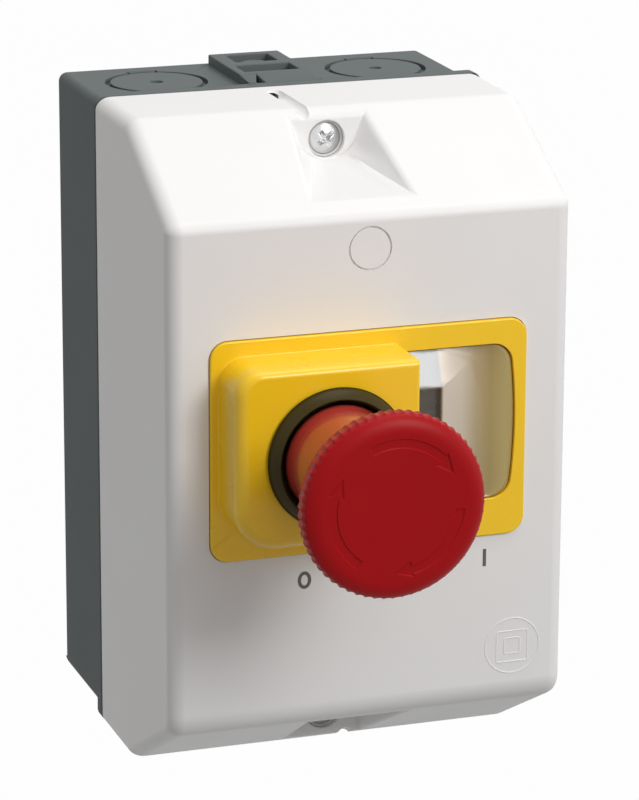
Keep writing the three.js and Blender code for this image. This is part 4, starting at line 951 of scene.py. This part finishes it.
# drop moves the sheet's skin back, for its inner face
def membraneRings(drop):
    gap = membrane["gap"] + (membrane["wall"] if drop else 0)
    low, high = pane["low"] + gap, pane["high"] - gap
    left, right = pane["left"] + gap, pane["right"] - gap
    middle = (low + high) / 2
    bowAt = lambda z: pane["bow"] * (1 - ((z - middle) / (high - low) * 2) ** 2)
    bowed = lambda x, z: (x + (x - left) / (right - left) * bowAt(z), z)
    mirror = lambda points: [(x, 2 * middle - z) for x, z in reversed(points)]
    arc = pane["corner"] - gap / 2
    turn = [(math.cos(a), math.sin(a)) for a in [quarterTurn * i / 16 for i in range(9)]]
    upperRight = [bowed(right - arc + arc * c, high - arc + arc * s) for c, s in turn]
    topRight = [bowed(right - arc + arc * s, high - arc + arc * c) for c, s in reversed(turn)]
    heights = [high - arc - (high - low - 2 * arc) * i / 24 for i in range(25)]
    edge = [(right + bowAt(z) - 0.02, z) for z in reversed(heights)]
    outer = fourSides([(left, low)] + mirror(topRight), mirror(upperRight) + edge + upperRight,
                      topRight + [(left, high)], [(left, high), (left, low)])
    cornerX, cornerZ = [place - drop for place in membrane["corner"]]
    side, upper = membrane["side"] - drop, membrane["upper"] - drop
    shares = [i / 12 for i in range(13)]
    topCurve = [(cornerX + (membrane["cornerEnd"] - cornerX) * s,
                 cornerZ + (upper - cornerZ) * math.sin(quarterTurn * s)) for s in shares]
    sideCurve = [(cornerX + (side - cornerX) * math.sin(quarterTurn * s) ** 0.9,
                  cornerZ + (middle - cornerZ) * s) for s in shares]
    lowSide = mirror(sideCurve)[::-1]
    foot = fourSides([(left, 2 * middle - upper)] + mirror(topCurve), lowSide[:-1] + sideCurve[::-1],
                     topCurve + [(left, upper)], [(left, upper), (left, 2 * middle - upper)])
    patchRight, patchLow, patchHigh = membrane["patch"]
    corners = [(left, patchLow), (patchRight, patchLow), (patchRight, patchHigh), (left, patchHigh)]
    patch = fourSides(*[(corners[i], corners[(i + 1) % 4]) for i in range(4)])
    depth, top = membrane["edgeDepth"] - drop, membrane["top"] - drop
    rings = [[(x, -(membrane["edgeDepth"] - membrane["skirt"] - drop), z) for x, z in outer]]
    for share in [i / 10 for i in range(11)]:
        ring = []
        for p, q in zip(outer, foot):
            x, z = between(p, q, share)
            run = math.dist(p, q)
            width = min(1.0, run / membrane["dipRun"])
            roll = membrane["lip"] * (1 - min(1, share * run / membrane["lipRun"])) ** 2
            dip = membrane["dip"] * width * math.sin(math.pi * min(1, share * 1.05))
            ring.append((x, -(depth - roll - dip), z))
        rings.append(ring)
    for share in [i / 12 for i in range(1, 13)]:
        rise = share if share < 0.9 else 0.9 + 0.1 * math.sin(quarterTurn * (share - 0.9) / 0.1) * 0.98
        flat = [between(p, q, share) for p, q in zip(foot, patch)]
        rings.append([(x, -(depth + (top - depth) * rise), z) for x, z in flat])
    centre = ((left + patchRight) / 2, (patchLow + patchHigh) / 2)
    for share in (0.08, 0.5):
        rings.append([(x, -top, z) for x, z in [between(p, centre, share) for p in patch]])
    return rings


# node group: a sheet that is clear over the button, with a bluish-white painted reflection on the slope above
# it; elsewhere its tone carries painted shade that browns and darkens towards the lip and a painted highlight
# just before it
def makeMembraneLightGroup():
    group, given = newGroup(
        "membrane painted light",
        [("Patch Right", "Float", 0.0154), ("Patch Top", "Float", 0.018), ("Clear", "Float", 0.06),
         ("Milky", "Color", (0.33, 0.36, 0.38, 1))], [("Colour", "Color"), ("Alpha", "Float")])
    place = addNode(group, "ShaderNodeTexCoord").outputs["Object"]
    apart = addNode(group, "ShaderNodeSeparateXYZ", {0: place}).outputs

    def past(value, limit, softness):
        offset = calculate(group, "SUBTRACT", value, limit)
        span = {"Value": offset, "From Min": -softness, "From Max": softness}
        return addNode(group, "ShaderNodeMapRange", span, interpolation_type="SMOOTHSTEP").outputs[0]

    above = past(apart["Z"], given["Patch Top"], 0.0006)
    overButton = calculate(group, "SUBTRACT", 1.0, past(apart["X"], given["Patch Right"], 0.00035))
    patch = calculate(group, "MULTIPLY", overButton, calculate(group, "SUBTRACT", 1.0, above))
    reflectionMask = calculate(group, "MULTIPLY", overButton, above)
    # painted shade across the width: the ramp browns and darkens the sheet towards the right, with a painted
    # highlight near the right edge
    across = addNode(group, "ShaderNodeMapRange", {"Value": apart["X"], "From Min": membrane["paintedFrom"] * mm,
                                                   "From Max": membrane["paintedTo"] * mm}).outputs[0]
    ramp = addNode(group, "ShaderNodeValToRGB", {0: across})
    stops = membrane["toneShadeAndHighlight"]
    while len(ramp.color_ramp.elements) < len(stops):
        ramp.color_ramp.elements.new(0.5)
    for element, (position, colour) in zip(ramp.color_ramp.elements, stops):
        element.position = position
        element.color = (*colour, 1)
    # the slope above the button takes the painted reflection colour, the rest the ramp's tone with painted
    # shade
    mix = addNode(group, "ShaderNodeMix", {"Factor": reflectionMask, "A": ramp.outputs[0], "B": given["Milky"]},
                  data_type="RGBA")
    clear = calculate(group, "MULTIPLY", patch, calculate(group, "SUBTRACT", 1.0, given["Clear"]))
    addNode(group, "NodeGroupOutput", {"Colour": mix.outputs["Result"],
                                       "Alpha": calculate(group, "SUBTRACT", 1.0, clear)})
    return group


def makeMembraneFinish():
    material = makeFinish("clear membrane", (0.6, 0.5, 0.4), (0.6, 0.5, 0.4), 0.22, 0.04, height=0.05)
    tree = material.node_tree
    tint = addNode(tree, "ShaderNodeGroup", node_tree=makeMembraneLightGroup()).outputs
    feed(tree, tree.nodes["Principled BSDF"], {"Base Color": tint["Colour"], "Alpha": tint["Alpha"]})
    return material


def makeMembrane():
    sheet = loft("membrane", membraneRings(0))
    flange = roundedOutline(*membrane["flange"], membrane["flangeRadius"], 6)
    weld(sheet, slab("cutter", flange, membrane["flangeBack"], membrane["flangeFront"]))
    skirt, *skin = membraneRings(membrane["wall"])
    carve(sheet, loft("cutter", [[(x, y + 3, z) for x, y, z in skirt], *skin]))
    smoothShade(sheet, 22)
    finish = makeMembraneFinish()
    piece = finishPiece(sheet, "startMembrane", "casing", "membrane_pvc", finish, "start_membrane")
    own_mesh(piece)


makeMembrane()
print("membrane made")


# collar: a tapered glossy ring through the plate's box
collar = {"back": 95, "seat": 106.0, "front": 108.5, "radius": 15.7, "lip": 13.9, "tube": 13.5, "bore": 12.7,
          "floor": 97, "stemBore": 6, "edge": 0.3, "bulge": 0.25, "chamfer": 1.6}


def makeCollar():
    radius, lip, seat, front = [collar[size] for size in ("radius", "lip", "seat", "front")]
    tube, bore, edge, steps = collar["tube"], collar["bore"], collar["edge"], 8
    run = (radius - lip) / (front - seat)
    profile = [(tube, collar["back"]), (tube, seat), (radius - 0.1, seat), (radius, seat + 0.12),
               (radius - 0.05, seat + edge)]
    for share in [i / steps for i in range(steps + 1)]:
        depth = seat + edge + (front - seat - 2 * edge) * share
        profile.append((radius - run * (depth - seat) + collar["bulge"] * math.sin(math.pi * share), depth))
    profile += [(lip - 0.05, front - 0.1), (lip - 0.2, front), (lip - 0.4, front - 0.05),
                (bore, front - collar["chamfer"]), (bore, collar["floor"]),
                (collar["stemBore"], collar["floor"]), (collar["stemBore"], collar["back"])]
    ring = smoothShade(turned("collar", axisX, axisZ, profile, 128, True), 35)
    finishPiece(ring, "stopCollar", "casing", "black_plastic", finishes["collar"], "stop_collar")


makeCollar()


# mushroom head: neck, flare, toothed rim, flat face with three sunken arrows
head = {"neckBase": 12.2, "neck": 12.3, "neckBack": 107.3, "neckLength": 18.7,
        "flare": 7.6, "flareLength": 9.8, "flareSweep": 80, "rim": 20, "rimDepth": 139.9,
        "shoulder": 4.2, "shoulderBack": 5.9, "shoulderFront": 2.9,
        "face": 142.8, "faceRadius": 15.75, "bore": 9.5, "boreBack": 100, "ceiling": 135.2,
        "bandStart": -47, "bandEnd": 31, "teeth": 62, "tooth": 0.42, "arrowInner": 13.0, "arrowOuter": 14.6,
        "barb": 0.8, "cut": 0.24, "wallLean": 0.9, "tail": 114, "barbAngle": 44, "tip": 29}


def rimPoint(degrees):
    angle = math.radians(degrees)
    along = head["shoulderBack"] if angle < 0 else head["shoulderFront"]
    radius = head["rim"] - head["shoulder"] + head["shoulder"] * math.cos(angle)
    return radius, head["rimDepth"] + along * math.sin(angle)


# node group: pushes a band's points inwards in even grooves round a front-to-back axis
def makeGrooveGroup():
    group, given = newGroup(
        "rim grooves",
        [("Geometry", "Geometry"), ("Teeth", "Float", 62.0), ("Groove Depth", "Float", 0.0005),
         ("Axis", "Vector", (0, 0, 0)), ("Band Back", "Float", 0.0), ("Band Front", "Float", 1.0),
         ("Finish", "Material")], [("Geometry", "Geometry")], "GeometryNodeTree")
    calc = lambda *values: calculate(group, *values)
    vector = lambda way, inputs: addNode(group, "ShaderNodeVectorMath", inputs, operation=way).outputs[0]
    spoke = vector("SUBTRACT", {0: addNode(group, "GeometryNodeInputPosition").outputs[0], 1: given["Axis"]})
    outward = vector("NORMALIZE", {0: vector("MULTIPLY", {0: spoke, 1: (1, 0, 1)})})
    apart = addNode(group, "ShaderNodeSeparateXYZ", {0: spoke}).outputs
    angle = calc("ARCTAN2", apart["Z"], apart["X"])
    sharp = calc("ABSOLUTE", calc("COSINE", calc("MULTIPLY", angle, calc("MULTIPLY", given["Teeth"], 0.5))))
    run = calc("SUBTRACT", given["Band Front"], given["Band Back"])
    along = calc("DIVIDE", calc("SUBTRACT", calc("MULTIPLY", apart["Y"], -1.0), given["Band Back"]), run)
    inside = calc("MINIMUM", calc("MAXIMUM", along, 0.0), 1.0)
    fade = calc("POWER", calc("SINE", calc("MULTIPLY", inside, math.pi)), 0.55)
    depth = calc("MULTIPLY", calc("MULTIPLY", sharp, fade), calc("MULTIPLY", given["Groove Depth"], -1.0))
    shift = vector("SCALE", {0: outward, "Scale": depth})
    move = addNode(group, "GeometryNodeSetPosition", {"Geometry": given["Geometry"], "Offset": shift})
    return finished(group, move, given["Finish"])


# an arrow along an arc, grown outwards on every side by the same amount
def arrowOutline(turn, grow, steps=24):
    at = lambda radius, degrees: (axisX + radius * math.cos(math.radians(degrees + turn)),
                                  axisZ + radius * math.sin(math.radians(degrees + turn)))
    spread = math.degrees(grow / head["arrowInner"])
    tail, barb = head["tail"] + spread, head["barbAngle"] + spread
    outer, inner = head["arrowOuter"] + grow, head["arrowInner"] - grow
    return ([at(outer, barb + (tail - barb) * i / steps) for i in range(steps + 1)]
            + [at(inner, tail - (tail - barb) * i / steps) for i in range(steps + 1)]
            + [at(inner - head["barb"] - grow, barb), at((inner + outer) / 2, head["tip"] - 2 * spread),
               at(outer + head["barb"] / 2 + grow, barb)])


# node group: one colour and roughness behind a depth, another in front of it; the colour behind is a lighter
# pink red, a painted reflection on the neck and flare
def makeDepthGroup():
    group, given = newGroup(
        "gloss and painted reflection behind a depth",
        [("Depth", "Float", 0.130), ("Back Colour", "Color", (0.46, 0.045, 0.032, 1)),
         ("Front Colour", "Color", (0.3, 0.002, 0.004, 1)), ("Back Roughness", "Float", 0.22),
         ("Front Roughness", "Float", 0.4)],
        [("Colour", "Color"), ("Roughness", "Float"), ("Behind", "Float")])
    place = addNode(group, "ShaderNodeTexCoord").outputs["Object"]
    apart = addNode(group, "ShaderNodeSeparateXYZ", {0: place}).outputs
    offset = calculate(group, "ADD", apart["Y"], given["Depth"])
    front = addNode(group, "ShaderNodeMapRange", {"Value": offset, "From Min": 0.0012, "From Max": -0.0012},
                    interpolation_type="SMOOTHSTEP").outputs[0]
    colour = addNode(group, "ShaderNodeMix", {"Factor": front, "A": given["Back Colour"],
                                              "B": given["Front Colour"]}, data_type="RGBA")
    rough = addNode(group, "ShaderNodeMix", {0: front, 2: given["Back Roughness"],
                                             3: given["Front Roughness"]})
    behind = addNode(group, "ShaderNodeMapRange", {"Value": front, "To Min": 0.8, "To Max": 0.0})
    addNode(group, "NodeGroupOutput", {"Colour": colour.outputs["Result"], "Roughness": rough.outputs[0],
                                       "Behind": behind.outputs[0]})
    return group


def makeHeadFinish():
    material = makeFinish("red mushroom", (0.33, 0.002, 0.004), (0.37, 0.003, 0.005), 0.40,
                          grain=2600, height=0.12, coatRoughness=0.08, specular=0.14)
    tree = material.node_tree
    shader = tree.nodes["Principled BSDF"]
    plain = lambda label: shader.inputs[label].links[0].from_socket
    # the neck and flare behind the depth get a lighter pink red that paints their reflections, and a glossier
    # coat
    depth = addNode(tree, "ShaderNodeGroup", node_tree=makeDepthGroup())
    feed(tree, depth, {"Front Colour": plain("Base Color"), "Front Roughness": plain("Roughness")})
    feed(tree, shader, {"Base Color": depth.outputs["Colour"], "Roughness": depth.outputs["Roughness"],
                        "Coat Weight": depth.outputs["Behind"]})
    return material


def makeHead():
    finish = makeHeadFinish()
    foot, back, face = head["neckBase"], head["neckBack"], head["face"]
    start, end = head["bandStart"], head["bandEnd"]
    profile = [(0, back), (foot - 0.3, back), (foot, back + 0.3)]
    for i in range(25):
        angle = math.radians(head["flareSweep"]) * i / 24
        profile.append((head["neck"] + head["flare"] * (1 - math.cos(angle)),
                        back + head["neckLength"] + head["flareLength"] * math.sin(angle)))
    backRadius, backDepth = rimPoint(start)
    frontRadius, frontDepth = rimPoint(end)
    profile += [(backRadius - 0.05, backDepth - 0.1), (backRadius, backDepth),
                (backRadius - 1.4, backDepth + 0.6), (frontRadius - 1.4, frontDepth - 0.4),
                (frontRadius, frontDepth)]
    profile += [rimPoint(end + (90 - end) * i / 16) for i in range(1, 17)]
    profile += [(head["faceRadius"], face), (0, face)]
    core = turned("head", axisX, axisZ, profile, 186)
    carve(core, rodY(axisX, axisZ, head["bore"], head["boreBack"], head["ceiling"], 96))
    for turn in (0, 120, 240):
        carve(core, loft("cutter", [[(x, -(face - head["cut"]) - rise, z)
                                     for x, z in arrowOutline(turn, rise * head["wallLean"])]
                                    for rise in (0, head["cut"] + 0.1)]))
    band = [rimPoint(start + (end - start) * i / 18) for i in range(19)]
    band += [(frontRadius - 1.2, frontDepth - 0.35), (backRadius - 1.2, backDepth + 0.5)]
    ring = turned("band", axisX, axisZ, band, head["teeth"] * 12, True)
    runGroup(ring, makeGrooveGroup(), {
        "Teeth": float(head["teeth"]), "Groove Depth": head["tooth"] * mm,
        "Axis": (axisX * mm, 0.0, axisZ * mm), "Band Back": backDepth * mm,
        "Band Front": frontDepth * mm, "Finish": finish})
    mergeInto(core, ring)
    smoothShade(core, 38)
    finishPiece(core, "mushroomHead", "mushroom", "red_plastic", finish, "mushroom_head")


makeHead()
print("collar and head made")


# cover screws: pan heads with a crossed recess, made once and set in both pockets by a node group
screw = {"radius": 3.55, "height": 2, "shank": 1.95, "tip": 23, "point": 2.4, "thread": 0.75, "root": 0.82,
         "plain": 4, "seat": 60.1, "arm": 2.15, "half": 0.58, "recess": 1.6, "taper": 0.45}
# cup washers: a thin floor under the screw's head and a raised rim round it
washer = {"bore": 2.2, "inner": 3.58, "outer": 4.13, "back": 59.55, "floor": 60.05, "top": 61.3}


def makeScrewModel():
    radius, shank, tip, seat, height, thread = [
        screw[size] for size in ("radius", "shank", "tip", "seat", "height", "thread")]
    profile = [(0, tip), (shank * 0.4, tip + 0.4), (shank, tip + screw["point"])]
    depth = tip + screw["point"]
    while depth < seat - screw["plain"]:
        profile += [(shank, depth + thread * 0.35), (shank * screw["root"], depth + thread * 0.7),
                    (shank, depth + thread)]
        depth += thread
    profile += [(shank, seat), (radius - 0.1, seat), (radius, seat + 0.1)]
    profile += [(radius * math.sqrt(1 - i / 12), seat + height * (0.45 + 0.55 * i / 12)) for i in range(13)]
    body = turned("screw", 0, 0, profile, 64)
    face = seat + height
    bottom = face - screw["recess"]
    levels = ((screw["taper"], bottom), (1.0, face - 0.15), (1.0, face + 1))
    for wide, tall in ((screw["arm"], screw["half"]), (screw["half"], screw["arm"])):
        corners = [(-wide, -tall), (wide, -tall), (wide, tall), (-wide, tall)]
        carve(body, loft("cutter", [[(x * share, -d, z * share) for x, z in corners] for share, d in levels]))
    soften(body, lambda middle: 0.07 if -middle.y > bottom - 0.05 else 0, 40, 2)
    return smoothShade(body, 35)


def makeWasherModel():
    bore, inner, outer, floor, top = [washer[size] for size in ("bore", "inner", "outer", "floor", "top")]
    profile = [(bore, washer["back"]), (outer, washer["back"]), (outer, top - 0.15), (outer - 0.12, top),
               (inner + 0.2, top), (inner + 0.06, top - 0.12), (inner, floor), (bore, floor)]
    return smoothShade(turned("washer", 0, 0, profile, 72, True), 35)


# node group: copies of one model at two heights on the centre line, the second turned further than the first
def makePairGroup():
    group, given = newGroup(
        "pair on the centre line",
        [("Geometry", "Geometry"), ("Model", "Object"), ("Height", "Float"), ("Turn", "Float"),
         ("First Turn", "Float", 0.35), ("Finish", "Material")],
        [("Geometry", "Geometry")], "GeometryNodeTree")
    heights = [calculate(group, "MULTIPLY", given["Height"], sign) for sign in (-1, 1)]
    start, step = [addNode(group, "ShaderNodeCombineXYZ", {"Z": height}) for height in heights]
    line = addNode(group, "GeometryNodeMeshLine", {"Count": 2, "Start Location": start.outputs[0],
                                                   "Offset": step.outputs[0]}, mode="END_POINTS")
    model = addNode(group, "GeometryNodeObjectInfo", {"Object": given["Model"]})
    index = addNode(group, "GeometryNodeInputIndex").outputs[0]
    amount = calculate(group, "MULTIPLY_ADD", index, given["Turn"], given["First Turn"])
    turn = addNode(group, "ShaderNodeCombineXYZ", {"Y": amount})
    copies = addNode(group, "GeometryNodeInstanceOnPoints", {
        "Points": line.outputs[0], "Instance": model.outputs["Geometry"], "Rotation": turn.outputs[0]})
    real = addNode(group, "GeometryNodeRealizeInstances", {0: copies.outputs[0]})
    return finished(group, real, given["Finish"])


pairGroup = makePairGroup()


def makePair(name, model, slotName, finish, turn, *replaced):
    settle(model)
    pair = runGroup(makeObject("pair", [(0, 0, 0)], []), pairGroup, {
        "Model": model, "Height": coverScrewZ * mm, "Turn": turn, "Finish": finish})
    bpy.data.objects.remove(model)
    finishPiece(pair, name, "casing", slotName, finish, *replaced)


makePair("coverScrews", makeScrewModel(), "zinc_steel", finishes["zinc"], 0.6,
         "cover_screw_top", "cover_screw_bottom")
makePair("cupWashers", makeWasherModel(), "case_plastic", finishes["nylon"], 0.0,
         "cover_screw_washer_top", "cover_screw_washer_bottom")


# printed marks under the plate: a plain O and I
marks = {"height": 4.0, "stroke": 0.78, "width": 3.1, "off": (-14.6, -24.0), "on": (27.2, -23.2),
         "raised": 0.02, "sunk": 0.05}


def makeMarks():
    bottom, top = casing["front"] - marks["sunk"], casing["front"] + marks["raised"]
    stroke, tall = marks["stroke"], marks["height"] / 2
    x, z = marks["off"]
    rings = []
    for shrink, depth in ((0, bottom), (0, top), (stroke, top), (stroke, bottom)):
        wide = marks["width"] / 2 - shrink
        rings.append([(x + wide * a, -depth, z + (tall - shrink) * b) for a, b in circle(0, 0, 1, 64)])
    letters = loft("marks", rings, closed=True)
    x, z = marks["on"]
    mergeInto(letters, block(x - stroke / 2, x + stroke / 2, z - tall, z + tall, bottom, top))
    finishPiece(letters, "printedMarks", "casing", "case_plastic", finishes["print"])


makeMarks()


# return spring: a round wire round the stem; ends is the share of the wire that lies flat at each end
spring = {"radius": 7.4, "wire": 0.55, "back": 97.2, "front": 111.6, "turns": 6, "ends": 0.1, "pitch": 1.26}


def makeSpring():
    thick, ends = spring["wire"], spring["ends"]
    low, high = spring["back"] + thick, spring["front"] - thick
    flat = thick * spring["pitch"]
    steps = 40 * spring["turns"]
    rings = []
    for share in [i / steps for i in range(steps + 1)]:
        angle = fullTurn * spring["turns"] * share
        pace = min(max((share - ends) / (1 - 2 * ends), 0), 1)
        depth = low + flat * min(share / ends, 1) + (high - low - 2 * flat) * pace
        depth += flat * max((share - (1 - ends)) / ends, 0)
        rings.append([(axisX + radius * math.cos(angle), -(depth + rise), axisZ + radius * math.sin(angle))
                      for radius, rise in circle(spring["radius"], 0, thick, 12)])
    wire = smoothShade(loft("spring", rings))
    piece = finishPiece(wire, "returnSpring", "casing", "spring_steel", finishes["spring"], "return_spring")
    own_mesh(piece)


makeSpring()
print("screws and spring made")


# finishes for the solids that stay as they are
kept = {
    "rubber": ["cover_gasket", "plate_seal", "stop_collar_seal"],
    "base": ["membrane_clamp", "rail_foot"],
    "black": ["stop_collar_nut", "head_stem", "plunger", "start_button"],
    "red": ["stop_button"],
    "case": ["breaker_back_case", "breaker_front_case", "setting_dial"],
    "brass": ["earth_terminal"],
    "zinc": ["din_rail", "rail_screw_left", "rail_screw_right", "earth_screw"]
    + [f"clamp_screw_{row}_{side}" for row in ("lower", "upper") for side in ("left", "right")]
    + [f"terminal_{kind}_{end}_{n}" for kind in ("clamp", "screw") for end in ("line", "load")
       for n in (1, 2, 3)],
}
for finish, names in kept.items():
    for name in names:
        for slot in nodes[name].material_slots:
            slot.material = finishes[finish]
print("kept solids finished:", sum(len(names) for names in kept.values()))
